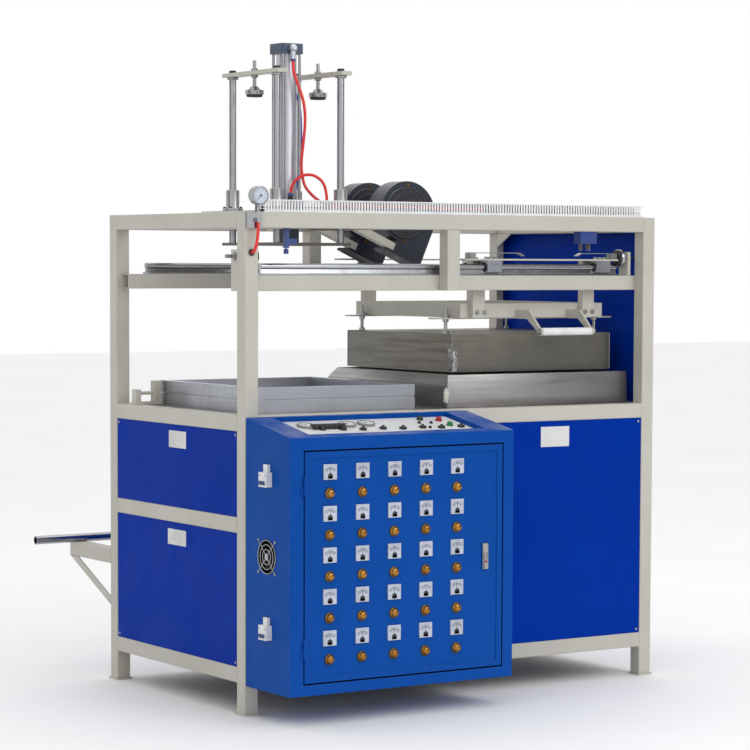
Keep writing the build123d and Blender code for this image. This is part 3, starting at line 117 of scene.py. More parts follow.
# Oven: seams of the box, front plate of the tray, wool and foil at their corner
SEAM_R = 0.0016
PLATE_PROUD = 0.002
WOOL_Z = 0.997
WOOL_HALF = (0.009, 0.008, 0.026)
WOOL_CRUMPLE = 0.0028
FOIL_STRIPS = (
    ((-0.0012, -0.0012, 0.002), (0.024, 0.0004, 0.072)),
    ((-0.0012, -0.0012, 0.010), (0.0004, 0.020, 0.080)),
)
FOIL_CUTS = 7
FOIL_CRUMPLE = 0.0017

# Wiring duct, gauge, air unit
DUCT_PITCH = 0.011
DUCT_FINGER = 0.007
DUCT_FOOT = 0.008
DUCT_LIP = 0.004
DUCT_HOSE = ((0.3, 0.017), (0.9, 0.019))
DUCT_HOSE_INSET = 0.0075
DUCT_HOSE_R = 0.005
DUCT_WIRES = 5
DUCT_WIRE_R = 0.0022
DUCT_WIRE_INSET = 0.004
DUCT_WIRE_START = (0.0145, 0.007)
DUCT_WIRE_STEP = (0.005, 0.009)
DUCT_WALL = 0.0018
DUCT_SLACK = 0.0003
GAUGE_X = 0.013
GAUGE_R = 0.0295
GAUGE_MARKS = 11
GAUGE_ZERO = 225
GAUGE_STEP = 27
GAUGE_MARK_LIFT = 0.0008
GAUGE_TICK = (0.019, 0.0225)
GAUGE_TICK_R = 0.0005
GAUGE_POINTER = (-0.005, 0.017)
GAUGE_POINTER_R = 0.0008
BOWLS = ((1.320, 0.0068), (1.352, 0.0088))

# Blowers
BLOWER_X = 0.862
BLOWER_Z = 1.613
BLOWER_SPACING = 0.24
BLOWER_BACK = 0.088
INLET_R = 0.088
INLET_RINGS = (0.066, 0.040)
INLET_RIBS = 30
INLET_RING_WIRE = 0.0022
INLET_RIB = (INLET_RINGS[-1], INLET_R - 0.004)
INLET_RIB_WIRE = 0.0017
MOTOR_R = 0.052
MOTOR_FIN_WIRE = 0.0016
MOTOR_FIN_RUN = (0.01, 0.062)
INLET_SCREW_R = 0.0956
INLET_SCREW_TURN = 5.6
INLET_SCREW_SHIFT = (0, 0.004, 0)
MOTOR_FINS = 20

# Press
BUSHING_FLANGE_R = 0.035
FLANGE_THICK = 0.012
FLANGE_SCREW_RING = 0.029
BARREL_R = 0.034
TIE_R = 0.005
TIE_PLACE = 0.032
COLLAR_R = 0.020
NUT_HEIGHT = 0.010
CAP_NUT_R = 0.012
CUP_R = 0.031

# Oven's carriage and its end stops
LEFT_BUMPER_FACE = 0.058
RIGHT_BUMPER_FACE = 1.511
STOP_THICK = 0.012
ROD_R = 0.006
ROD_TIP = 0.001
ROD_NUT_R = 0.011
ROD_TAIL = 0.035
FLAT_THICK = 0.005
ARM_THICK = 0.008
GRIP_R = 0.013
BEARING_LENGTH = 0.058
BEARING_WIDTH = 0.045
SHAFT_DROP = 0.022
BAR_THICK = 0.006
BAR_NUT_PITCH = 0.019
BLOCK_SCREW_DROP = 0.013
STRAP_FRONT = 0.085
STRAP_BOLT_Z = 1.2745
STRAP_BOLTS = (0.9472, 0.9779, 1.4068, 1.4375)

# Nuts and screws, as (radius, height)
STOP_NUT = (0.0115, 0.009)
ROD_NUT = (0.0105, 0.010)
GRIP_NUT = (0.009, 0.007)
BAR_NUT = (0.0075, 0.007)
STRAP_NUT = (0.0075, 0.006)
BREAKER_SCREW = (0.003, 0.0012)
GUARD_SCREW = (0.0045, 0.003)
INLET_SCREW = (0.005, 0.004)
FLANGE_SCREW = (0.0045, 0.005)
CAP_SCREW = (0.007, 0.005)
BLOCK_SCREW = (0.006, 0.004)
PANEL_SCREW = (0.0045, 0.002)

# Turned profiles, as (height, radius) steps
# Black ring of painted shade at each knob's base
KNOB_SHADE_RING = ((0, 0.018), (0.0015, 0.018), (0.002, 0.0172))
KNOB_SKIRT = ((0.002, 0.0155), (0.0045, 0.0155), (0.0055, 0.0138), (0.011, 0.0128), (0.0138, 0.0108))
KNOB_CROWN = ((0.0153, 0.0076), (0.0159, 0.0038))
LATCH_BUTTON = ((0, 0.0045), (0.002, 0.0045), (0.003, 0.003))
DIAL_RIM = ((0, 0.03), (0.006, 0.03), (0.0085, 0.0275), (0.0085, 0.0255), (0.006, 0.025))
DIAL_FACE = ((0.0055, 0.0248), (0.0065, 0.0248))
DIAL_PIVOT = ((0.0064, 0.003), (0.0078, 0.003))
LAMP_DOME = ((0, 0.011), (0.006, 0.011), (0.012, 0.008), (0.014, 0.003))
SMALL_CAP = ((0, 0.006), (0.006, 0.0055), (0.007, 0.003))
PUSH_BUTTON = ((0, 0.012), (0.003, 0.012), (0.003, 0.0095), (0.011, 0.0095), (0.013, 0.007))
GAUGE_CASE = (
    (-0.0285, 0.0275), (-0.027, GAUGE_R), (0, GAUGE_R),
    (0.002, 0.0275), (0.002, 0.0255), (-0.001, 0.025),
)
GAUGE_DIAL = ((0, 0.0249), (0.0006, 0.0249))
GAUGE_PIVOT = ((0, 0.0032), (0.002, 0.0028))
GUARD_HUB = ((-0.0012, 0.011), (0.0008, 0.011), (0.0014, 0.0095))
BUMPER_RUBBER = ((0, 0.0235), (0.0012, 0.0262), (0.0025, 0.027), (0.009, 0.027))
BUMPER_CUP = (
    (0.008, 0.0305), (0.009, 0.031), (0.0215, 0.031), (0.023, 0.0295),
    (0.0245, 0.020), (0.035, 0.0115), (0.035, 0.0062),
)
STUD_R = 0.006
BUSHING_FLANGE = (
    (0, BUSHING_FLANGE_R), (0.0105, BUSHING_FLANGE_R),
    (FLANGE_THICK, BUSHING_FLANGE_R - 0.0015), (FLANGE_THICK, 0.0235),
)
BUSHING_BODY = ((0.014, 0.023), (0.0715, 0.023), (0.073, 0.0215), (0.073, 0.0165), (0.0715, 0.0145))
COLLAR = ((0, 0.019), (0.001, COLLAR_R), (0.007, COLLAR_R), (0.008, 0.019))
BANJO_STEM = ((0, 0.0095), (0.040, 0.0095), (0.043, 0.007))
BANJO_EYE = ((0, 0.0125), (0.020, 0.0125), (0.0225, 0.0105), (0.0265, 0.0065))
BANJO_EYE_OFFSET = (0, 0.013, 0.036)
MOTOR = (
    (0, 0.0545), (0.008, 0.0545), (0.0085, 0.0525), (0.0705, 0.0525), (0.0715, 0.051), (0.0715, 0.03),
)
INLET_RIM = (
    (-0.006, INLET_R + 0.0008), (0.0012, INLET_R + 0.0008), (0.002, INLET_R - 0.001),
    (0.002, INLET_R - 0.004), (0.0003, INLET_R - 0.0045),
)
INLET_SHADOW = ((0, INLET_R - 0.005), (0.0005, INLET_R - 0.005))
INLET_HUB = ((-0.004, INLET_RINGS[-1]), (0.0025, INLET_RINGS[-1]), (0.004, 0.03))
SEAL = ((0, 0.0155), (0.0025, 0.0155), (0.003, 0.0145))
PUSH_RING = ((-0.003, 0.0088), (0.005, 0.0088), (0.007, 0.0075))

# Hoses: press top is the middle of the press at the frame's top, post top the front of the left post
PRESS_TOP = (0.405, 0.435, 1.6)
POST_TOP = (0, -0.025, 1.6)
LONG_HOSE = (
    (-0.008, -0.055, 0.519), (-0.008, -0.055, 0.485), (0.001, -0.061, 0.45), (0.014, -0.066, 0.415),
    (0.025, -0.069, 0.38), (0.031, -0.07, 0.34), (0.031, -0.07, 0.3), (0.027, -0.069, 0.258),
    (0.022, -0.068, 0.215), (0.018, -0.066, 0.172), (0.022, -0.065, 0.136), (0.027, -0.071, 0.099),
    (0.042, -0.081, 0.075), (0.063, -0.091, 0.053), (0.091, -0.098, 0.037), (0.123, -0.1, 0.03),
)
LOOP_HOSE = (
    (-0.016, -0.055, 0.067), (-0.016, -0.055, 0.086), (-0.01, -0.06, 0.105), (0, -0.067, 0.12),
    (0.014, -0.076, 0.13), (0.029, -0.087, 0.135), (0.045, -0.099, 0.133), (0.059, -0.109, 0.124),
    (0.071, -0.117, 0.111), (0.078, -0.122, 0.093), (0.081, -0.124, 0.074), (0.083, -0.125, 0.055),
    (0.083, -0.125, 0.036),
)
BLUE_HOSE = (
    (0.013, 0.055, 0.522), (0.013, 0.055, 0.498), (0.023, 0.056, 0.474), (0.038, 0.054, 0.451),
    (0.055, 0.05, 0.429), (0.069, 0.045, 0.404), (0.076, 0.04, 0.374), (0.079, 0.036, 0.34),
    (0.079, 0.035, 0.303), (0.08, 0.035, 0.265), (0.08, 0.035, 0.226), (0.079, 0.036, 0.19),
    (0.076, 0.039, 0.156), (0.071, 0.042, 0.123), (0.065, 0.045, 0.092), (0.06, 0.048, 0.064),
    (0.06, 0.048, 0.038),
)
GAUGE_HOSE = (
    (0.008, -0.027, -0.033), (0.008, -0.027, -0.05), (0.006, -0.03, -0.069), (0.003, -0.03, -0.089),
    (0.001, -0.027, -0.107), (-0.001, -0.02, -0.121), (-0.001, -0.01, -0.128), (-0.001, 0, -0.128),
)

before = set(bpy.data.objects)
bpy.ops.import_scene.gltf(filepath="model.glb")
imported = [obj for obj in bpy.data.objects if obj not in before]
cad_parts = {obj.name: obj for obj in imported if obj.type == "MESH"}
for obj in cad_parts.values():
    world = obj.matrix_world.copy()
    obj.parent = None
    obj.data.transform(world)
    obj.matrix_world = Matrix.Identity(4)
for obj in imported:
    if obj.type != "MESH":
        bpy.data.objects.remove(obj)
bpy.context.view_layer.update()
bpy.ops.object.select_all(action="DESELECT")

# Camera, solved from the corners of the frame in the photograph
CAMERA_PLACE = (-4.2101, -7.2022, 1.4433)
CAMERA_YAW = -33.085
CAMERA_PITCH = 85.992
CAMERA_ROLL = 0.217
CAMERA_LENS = 126.48
CAMERA_SENSOR = 36
CAMERA_SHIFT_Y = 0.0956

# Stage
FLOOR_SIZE = 60
FLOOR_COLOUR = (0.9, 0.9, 0.9)
WORLD_COLOUR = (1.0, 1.0, 1.0, 1)
WORLD_STRENGTH = 1.0

# Lamps: name, place, what it faces, power
LAMP_SIZE = 4.0
LAMPS = (
    ("key", (2.5, -6.0, 4.5), (0.8, 0.4, 1.0), 130),
    ("fill", (-6.0, -0.5, 3.0), (0.8, 0.4, 0.9), 10),
    ("top", (1.0, 1.0, 6.0), (0.8, 0.4, 1.0), 40),
)

# Finishes
PAINT_PEEL = 0.12
METAL_DUST = 0.15

# Dark cards beside the stage, for contrast in the metals
CARDS = (("left_card", (-7.5, 1.5, 2.5), 90), ("right_card", (7.0, -5.5, 2.5), 60))
CARD_SIZE = (4.5, 5.0, 1)


def node(tree, kind, inputs=None, **settings):
    """New shader node, with its settings and with values or links for its named inputs."""
    made = tree.nodes.new("ShaderNode" + kind)
    for name, value in settings.items():
        setattr(made, name, value)
    for name, value in (inputs or {}).items():
        socket = made.inputs[name]
        if isinstance(value, bpy.types.NodeSocket):
            tree.links.new(value, socket)
        else:
            socket.default_value = value
    return made


def maths(tree, operation, first, second=None, clamp=False):
    """Output of one Math node."""
    inputs = {0: first} if second is None else {0: first, 1: second}
    return node(tree, "Math", inputs, operation=operation, use_clamp=clamp).outputs[0]


def remap(tree, value, low, high, new_low=0.0, new_high=1.0):
    """Output of a smooth Map Range node."""
    inputs = {0: value, 1: low, 2: high, 3: new_low, 4: new_high}
    return node(tree, "MapRange", inputs, interpolation_type="SMOOTHSTEP").outputs[0]


def tinted(colour, share, lift=0.0):
    """A darker or paler shade of a colour."""
    return tuple(min(1.0, share * channel + lift) for channel in colour)


def mix_colours(tree, factor, first, second):
    """Output of a colour Mix node."""
    made = node(tree, "Mix", data_type="RGBA")
    for index, value in ((0, factor), (6, first), (7, second)):
        if isinstance(value, bpy.types.NodeSocket):
            tree.links.new(value, made.inputs[index])
        elif index:
            made.inputs[index].default_value = (*value, 1)
        else:
            made.inputs[index].default_value = value
    return made.outputs[2]


def start_group(name, inputs, outputs):
    """Empty node group with named sockets; returns the tree, its inputs and its output node."""
    tree = bpy.data.node_groups.new(name, "ShaderNodeTree")
    kinds = {"value": "NodeSocketFloat", "vector": "NodeSocketVector", "colour": "NodeSocketColor"}
    for label, kind, default in inputs:
        socket = tree.interface.new_socket(name=label, in_out="INPUT", socket_type=kinds[kind])
        socket.default_value = default
    for label, kind in outputs:
        tree.interface.new_socket(name=label, in_out="OUTPUT", socket_type=kinds[kind])
    entry = tree.nodes.new("NodeGroupInput")
    end = tree.nodes.new("NodeGroupOutput")
    return tree, entry.outputs, end


def place_group(tree, group, **values):
    """The group as a node in a material, with its own values; names are written with _ for a space."""
    made = tree.nodes.new("ShaderNodeGroup")
    made.node_tree = group
    for name, value in values.items():
        socket = made.inputs[name.replace("_", " ")]
        if isinstance(value, bpy.types.NodeSocket):
            tree.links.new(value, socket)
        else:
            socket.default_value = value
    return made.outputs


def object_place(tree):
    """The object's own coordinates."""
    return node(tree, "TexCoord").outputs["Object"]


def noise(tree, scale, detail, place=None, **more):
    """Value of a Noise texture, on the object's own coordinates if no place is given."""
    if place is None:
        place = object_place(tree)
    inputs = {"Vector": place, "Scale": scale, "Detail": detail, **more}
    return node(tree, "TexNoise", inputs).outputs["Fac"]


def overlap(tree, first, second, amount):
    """Product of two masks and an amount, kept between 0 and 1."""
    return maths(tree, "MULTIPLY", maths(tree, "MULTIPLY", first, second), amount, clamp=True)


def rounded_edges(tree):
    """Normal that rounds the sharp edges of sheet, tube and blocks."""
    return node(tree, "Bevel", {"Radius": EDGE_ROUNDING}, samples=4).outputs[0]


def bumped(tree, given, height):
    """Normal of a height over rounded edges, with the group's strength and depth."""
    inputs = {
        "Strength": given["Strength"],
        "Distance": given["Depth"],
        "Height": height,
        "Normal": rounded_edges(tree),
    }
    return node(tree, "Bump", inputs).outputs["Normal"]


def edge_wear_group():
    """Mask of the edges that hands and tools rub, broken up by noise."""
    inputs = [("Width", "value", 0.002), ("Break up", "value", 60.0), ("Amount", "value", 0.5)]
    tree, given, end = start_group("edge_wear", inputs, [("Mask", "value")])
    rounded = node(tree, "Bevel", {"Radius": given["Width"]}, samples=4)
    flat = node(tree, "NewGeometry")
    aligned = node(
        tree, "VectorMath", {0: rounded.outputs[0], 1: flat.outputs["Normal"]}, operation="DOT_PRODUCT"
    )
    sharp = remap(tree, aligned.outputs["Value"], 0.995, 0.85)
    patches = remap(tree, noise(tree, given["Break up"], 4.0), 0.4, 0.62)
    tree.links.new(overlap(tree, sharp, patches, given["Amount"]), end.inputs["Mask"])
    return tree


def clouds_group():
    """Soft cloudy mask from a large and a small noise, for uneven colour and handling marks."""
    inputs = [("Scale", "value", 3.0), ("Low", "value", 0.4), ("High", "value", 0.7)]
    tree, given, end = start_group("clouds", inputs, [("Mask", "value")])
    broad = noise(tree, given["Scale"], 3.0)
    small = noise(tree, maths(tree, "MULTIPLY", given["Scale"], 7.0), 5.0)
    both = maths(tree, "ADD", broad, maths(tree, "MULTIPLY", small, 0.4))
    level = maths(tree, "MULTIPLY", both, 1 / 1.4)
    tree.links.new(remap(tree, level, given["Low"], given["High"]), end.inputs["Mask"])
    return tree


def orange_peel_group():
    """Normal with the fine pebbled surface of sprayed paint and powder coat."""
    inputs = [("Scale", "value", 500.0), ("Strength", "value", 0.15), ("Depth", "value", 0.0002)]
    tree, given, end = start_group("orange_peel", inputs, [("Normal", "vector")])
    fine = noise(tree, given["Scale"], 1.0)
    tree.links.new(bumped(tree, given, fine), end.inputs["Normal"])
    return tree


def grain_group():
    """Lines of rolled, drawn or brushed metal; Stretch is small along the lines."""
    inputs = [
        ("Stretch", "vector", (1.0, 60.0, 60.0)),
        ("Strength", "value", 0.2),
        ("Depth", "value", 0.0001),
    ]
    tree, given, end = start_group("grain", inputs, [("Fac", "value"), ("Normal", "vector")])
    stretched = node(
        tree, "VectorMath", {0: object_place(tree), 1: given["Stretch"]}, operation="MULTIPLY"
    ).outputs[0]
    lines = noise(tree, 12.0, 6.0, stretched, Roughness=0.65)
    tree.links.new(lines, end.inputs["Fac"])
    tree.links.new(bumped(tree, given, lines), end.inputs["Normal"])
    return tree


def dust_group():
    """Mask of dust that settles on upward faces."""
    inputs = [("Scale", "value", 9.0), ("Amount", "value", 0.3)]
    tree, given, end = start_group("dust", inputs, [("Mask", "value")])
    facing = node(tree, "SeparateXYZ", {0: node(tree, "NewGeometry").outputs["Normal"]}).outputs["Z"]
    upward = remap(tree, facing, 0.5, 0.98)
    patches = remap(tree, noise(tree, given["Scale"], 6.0), 0.35, 0.7)
    tree.links.new(overlap(tree, upward, patches, given["Amount"]), end.inputs["Mask"])
    return tree


def scratches_group():
    """Mask of thin stray scratches from handling."""
    inputs = [("Scale", "value", 14.0), ("Amount", "value", 0.3)]
    tree, given, end = start_group("scratches", inputs, [("Mask", "value")])
    place = object_place(tree)
    warp = node(tree, "TexNoise", {"Vector": place, "Scale": 2.3, "Detail": 1.0}).outputs["Color"]
    bent = node(
        tree, "VectorMath", {0: warp, 1: (0.12, 0.12, 0.12), 2: place}, operation="MULTIPLY_ADD"
    ).outputs[0]
    cells = node(
        tree, "TexVoronoi", {"Vector": bent, "Scale": given["Scale"]}, feature="DISTANCE_TO_EDGE"
    )
    line = remap(tree, cells.outputs["Distance"], 0.006, 0.0)
    patches = remap(tree, noise(tree, 5.0, 2.0, place), 0.56, 0.64)
    tree.links.new(overlap(tree, line, patches, given["Amount"]), end.inputs["Mask"])
    return tree


EDGE_WEAR = edge_wear_group()
CLOUDS = clouds_group()
ORANGE_PEEL = orange_peel_group()
GRAIN = grain_group()
DUST = dust_group()
SCRATCHES = scratches_group()


def start_material(name):
    """New material of that name; returns it with its tree and its Principled BSDF's inputs."""
    old = bpy.data.materials.get(name)
    if old:
        old.name = name + "_plain"
    made = bpy.data.materials.new(name)
    made.use_nodes = True
    tree = made.node_tree
    return made, tree, tree.nodes["Principled BSDF"].inputs


def finish(tree, shader, colour, roughness, normal=None):
    """Links the colour, roughness and normal of a material."""
    tree.links.new(colour, shader["Base Color"])
    tree.links.new(roughness, shader["Roughness"])
    if normal is not None:
        tree.links.new(normal, shader["Normal"])


def sprayed_paint(name, colour, faded, worn, roughness, wear, gloss):
    """Paint or powder coat: a little uneven, pebbled, rubbed through at the edges, dusty on top."""
    made, tree, shader = start_material(name)
    uneven = place_group(tree, CLOUDS, Scale=1.7, Low=0.38, High=0.62)["Mask"]
    base = mix_colours(tree, uneven, colour, faded)
    rubbed = place_group(tree, EDGE_WEAR, Width=0.0025, Break_up=45.0, Amount=wear)["Mask"]
    scratched = place_group(tree, SCRATCHES, Scale=9.0, Amount=wear * 0.5)["Mask"]
    bare = maths(tree, "MAXIMUM", rubbed, scratched)
    with_wear = mix_colours(tree, bare, base, worn)
    dusty = place_group(tree, DUST, Scale=8.0, Amount=0.22)["Mask"]
    handled = place_group(tree, CLOUDS, Scale=5.0, Low=0.35, High=0.65)["Mask"]
    rough = remap(tree, handled, 0.0, 1.0, roughness - 0.06, roughness + 0.1)
    rough = maths(tree, "MAXIMUM", rough, maths(tree, "MULTIPLY", dusty, 2.2))
    shader["Specular IOR Level"].default_value = gloss
    pebbled = place_group(tree, ORANGE_PEEL, Scale=420.0, Strength=PAINT_PEEL, Depth=0.0003)["Normal"]
    finish(tree, shader, mix_colours(tree, dusty, with_wear, (0.55, 0.53, 0.5)), rough, pebbled)
    return made


def bare_metal(name, colour, stain, roughness, stretch, grain, marks):
    """Uncoated metal with drawing or rolling lines and dull stains."""
    made, tree, shader = start_material(name)
    shader["Metallic"].default_value = 1.0
    lines = place_group(tree, GRAIN, Stretch=stretch, Strength=grain, Depth=0.0002)
    stained = place_group(tree, CLOUDS, Scale=3.5, Low=0.4, High=0.68)["Mask"]
    base = mix_colours(tree, stained, colour, stain)
    drawn = remap(tree, lines["Fac"], 0.35, 0.7, 0.0, marks)
    lined = mix_colours(tree, drawn, base, tinted(colour, 0.8))
    dusty = place_group(tree, DUST, Scale=11.0, Amount=METAL_DUST)["Mask"]
    rough = remap(tree, lines["Fac"], 0.3, 0.7, roughness - 0.1 * marks, roughness + 0.16 * marks)
    rough = maths(tree, "ADD", rough, maths(tree, "MULTIPLY", stained, 0.1))
    rough = maths(tree, "MAXIMUM", rough, maths(tree, "MULTIPLY", dusty, 2.5))
    dulled = mix_colours(tree, dusty, lined, (0.5, 0.49, 0.47))
    finish(tree, shader, dulled, rough, lines["Normal"] if grain else None)
    return made


def moulded_plastic(name, colour, roughness, texture):
    """Moulded plastic with a faint texture, uneven gloss and slightly paler edges."""
    made, tree, shader = start_material(name)
    uneven = place_group(tree, CLOUDS, Scale=12.0, Low=0.4, High=0.65)["Mask"]
    base = mix_colours(tree, uneven, colour, tinted(colour, 0.85))
    rubbed = place_group(tree, EDGE_WEAR, Width=0.0008, Break_up=120.0, Amount=0.25)["Mask"]
    rough = remap(tree, uneven, 0.0, 1.0, roughness - 0.05, roughness + 0.1)
    fine = place_group(tree, ORANGE_PEEL, Scale=900.0, Strength=texture, Depth=0.0001)["Normal"]
    finish(tree, shader, mix_colours(tree, rubbed, base, tinted(colour, 1.3, 0.05)), rough, fine)
    return made


def heat_stained_sheet(name, colour, browned):
    """Rolled steel sheet of the oven: grey with brown bloom from the heat and dull streaks."""
    made, tree, shader = start_material(name)
    shader["Metallic"].default_value = 0.85
    lines = place_group(tree, GRAIN, Stretch=(0.35, 0.35, 7.0), Strength=0.05, Depth=0.0003)
    bloom = place_group(tree, CLOUDS, Scale=2.0, Low=0.42, High=0.66)["Mask"]
    base = mix_colours(tree, bloom, colour, browned)
    rolled = remap(tree, lines["Fac"], 0.4, 0.7, 0.0, 0.45)
    lined = mix_colours(tree, rolled, base, tinted(colour, 0.7))
    marks = place_group(tree, SCRATCHES, Scale=7.0, Amount=0.5)["Mask"]
    scratched = mix_colours(tree, marks, lined, (0.6, 0.6, 0.6))
    dusty = place_group(tree, DUST, Scale=6.0, Amount=0.25)["Mask"]
    rough = remap(tree, lines["Fac"], 0.3, 0.7, 0.3, 0.45)
    rough = maths(tree, "ADD", rough, maths(tree, "MULTIPLY", bloom, 0.12))
    dulled = mix_colours(tree, dusty, scratched, (0.42, 0.4, 0.37))
    finish(tree, shader, dulled, rough, lines["Normal"])
    return made


def moulded_rubber():
    """Dull black rubber with a bloom of dust."""
    made, tree, shader = start_material("rubber_black")
    bloom = place_group(tree, CLOUDS, Scale=25.0, Low=0.4, High=0.7)["Mask"]
    base = mix_colours(tree, bloom, (0.012, 0.012, 0.013), (0.04, 0.04, 0.04))
    fine = place_group(tree, ORANGE_PEEL, Scale=700.0, Strength=0.25, Depth=0.0002)["Normal"]
    finish(tree, shader, base, remap(tree, bloom, 0.0, 1.0, 0.55, 0.8), fine)
    return made


def hose_plastic(name, colour):
    """Polyurethane hose: glossy, a little translucent and faintly scuffed."""
    made, tree, shader = start_material(name)
    scuffed = place_group(tree, CLOUDS, Scale=30.0, Low=0.42, High=0.66)["Mask"]
    base = mix_colours(tree, scuffed, colour, tinted(colour, 0.8, 0.01))
    finish(tree, shader, base, remap(tree, scuffed, 0.0, 1.0, 0.22, 0.38))
    shader["Subsurface Weight"].default_value = 0.12
    shader["Subsurface Scale"].default_value = 0.002
    return made


def fired_tile():
    """Unglazed ceramic of the heater tiles, browned in patches."""
    made, tree, shader = start_material("ceramic_tile")
    browned = place_group(tree, CLOUDS, Scale=9.0, Low=0.42, High=0.66)["Mask"]
    base = mix_colours(tree, browned, (0.6, 0.57, 0.5), (0.38, 0.3, 0.22))
    fine = place_group(tree, ORANGE_PEEL, Scale=500.0, Strength=0.3, Depth=0.0003)["Normal"]
    finish(tree, shader, base, remap(tree, browned, 0.0, 1.0, 0.6, 0.8), fine)
    return made


# Paints: colour, faded colour, worn colour, roughness, wear at the edges, gloss
PAINTS = {
    "frame_paint": ((0.5, 0.485, 0.43), (0.46, 0.445, 0.39), (0.25, 0.22, 0.18), 0.45, 0.35, 0.5),
    "panel_blue": ((0, 0.027, 0.29), (0, 0.031, 0.32), (0.03, 0.07, 0.26), 0.38, 0.12, 0.03),
    "cabinet_blue": ((0.002, 0.06, 0.31), (0.003, 0.067, 0.34), (0.06, 0.12, 0.32), 0.38, 0.15, 0.06),
    "slate_paint": ((0.035, 0.055, 0.1), (0.045, 0.07, 0.12), (0.3, 0.3, 0.32), 0.35, 0.4, 0.5),
    "blower_paint": ((0.017, 0.02, 0.034), (0.023, 0.027, 0.043), (0.2, 0.2, 0.22), 0.34, 0.4, 0.5),
}
# Metals: colour, stain, roughness, stretch of the lines, depth of the lines, marks
METALS = {
    "profile_aluminium": ((0.45, 0.465, 0.52), (0.37, 0.375, 0.41), 0.3, (1.2, 1.2, 26.0), 0.25, 0.5),
    "bright_steel": ((0.4, 0.41, 0.43), (0.34, 0.34, 0.355), 0.17, (3.0, 3.0, 0.5), 0.0, 0.08),
    "barrel_aluminium": ((0.6, 0.6, 0.66), (0.54, 0.54, 0.6), 0.33, (9.0, 9.0, 0.2), 0.0, 0.15),
    "dark_steel": ((0.06, 0.06, 0.065), (0.04, 0.04, 0.045), 0.35, (9.0, 9.0, 9.0), 0.05, 0.5),
    "foil": ((0.5, 0.5, 0.5), (0.22, 0.21, 0.2), 0.25, (9.0, 9.0, 9.0), 1.0, 0.5),
    "zinc_steel": ((0.4, 0.4, 0.41), (0.3, 0.3, 0.3), 0.3, (20.0, 20.0, 20.0), 0.1, 0.3),
    "gold_metal": ((0.42, 0.21, 0.045), (0.26, 0.12, 0.025), 0.15, (40.0, 40.0, 40.0), 0.08, 0.5),
}
# Plastics: colour, roughness, texture
PLASTICS = {
    "meter_plastic": ((0.5, 0.54, 0.64), 0.3, 0.08),
    "blank_label": ((0.66, 0.66, 0.66), 0.55, 0.08),
    "mineral_wool": ((0.7, 0.68, 0.62), 0.9, 0.6),
    "white_plastic": ((0.75, 0.76, 0.77), 0.35, 0.08),
    "blue_plastic": ((0.03, 0.06, 0.22), 0.35, 0.08),
    "black_plastic": ((0.02, 0.02, 0.022), 0.45, 0.08),
    "grey_plastic": ((0.22, 0.23, 0.24), 0.4, 0.08),
    "smoked_plastic": ((0.06, 0.06, 0.065), 0.15, 0.08),
    "red_cap": ((0.35, 0.012, 0.012), 0.3, 0.08),
    "green_cap": ((0.01, 0.2, 0.05), 0.3, 0.08),
}
MATERIALS = {
    "sheet_steel": heat_stained_sheet("sheet_steel", (0.17, 0.165, 0.15), (0.21, 0.19, 0.155)),
    "tray_steel": heat_stained_sheet("tray_steel", (0.36, 0.35, 0.355), (0.27, 0.26, 0.265)),
    "hose_red": hose_plastic("hose_red", (0.75, 0.025, 0.02)),
    "hose_blue": hose_plastic("hose_blue", (0.015, 0.03, 0.4)),
    "rubber_black": moulded_rubber(),
    "ceramic_tile": fired_tile(),
    **{name: sprayed_paint(name, *values) for name, values in PAINTS.items()},
    **{name: bare_metal(name, *values) for name, values in METALS.items()},
    **{name: moulded_plastic(name, *values) for name, values in PLASTICS.items()},
}


def dress_nodes():
    """Gives every node of the frame the material of its slot, or its own."""
    for name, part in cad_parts.items():
        for held in part.material_slots:
            slot = held.material.name.split("_plain")[0].split(".")[0]
            held.material = MATERIALS[OWN_LOOKS.get(name, slot)]


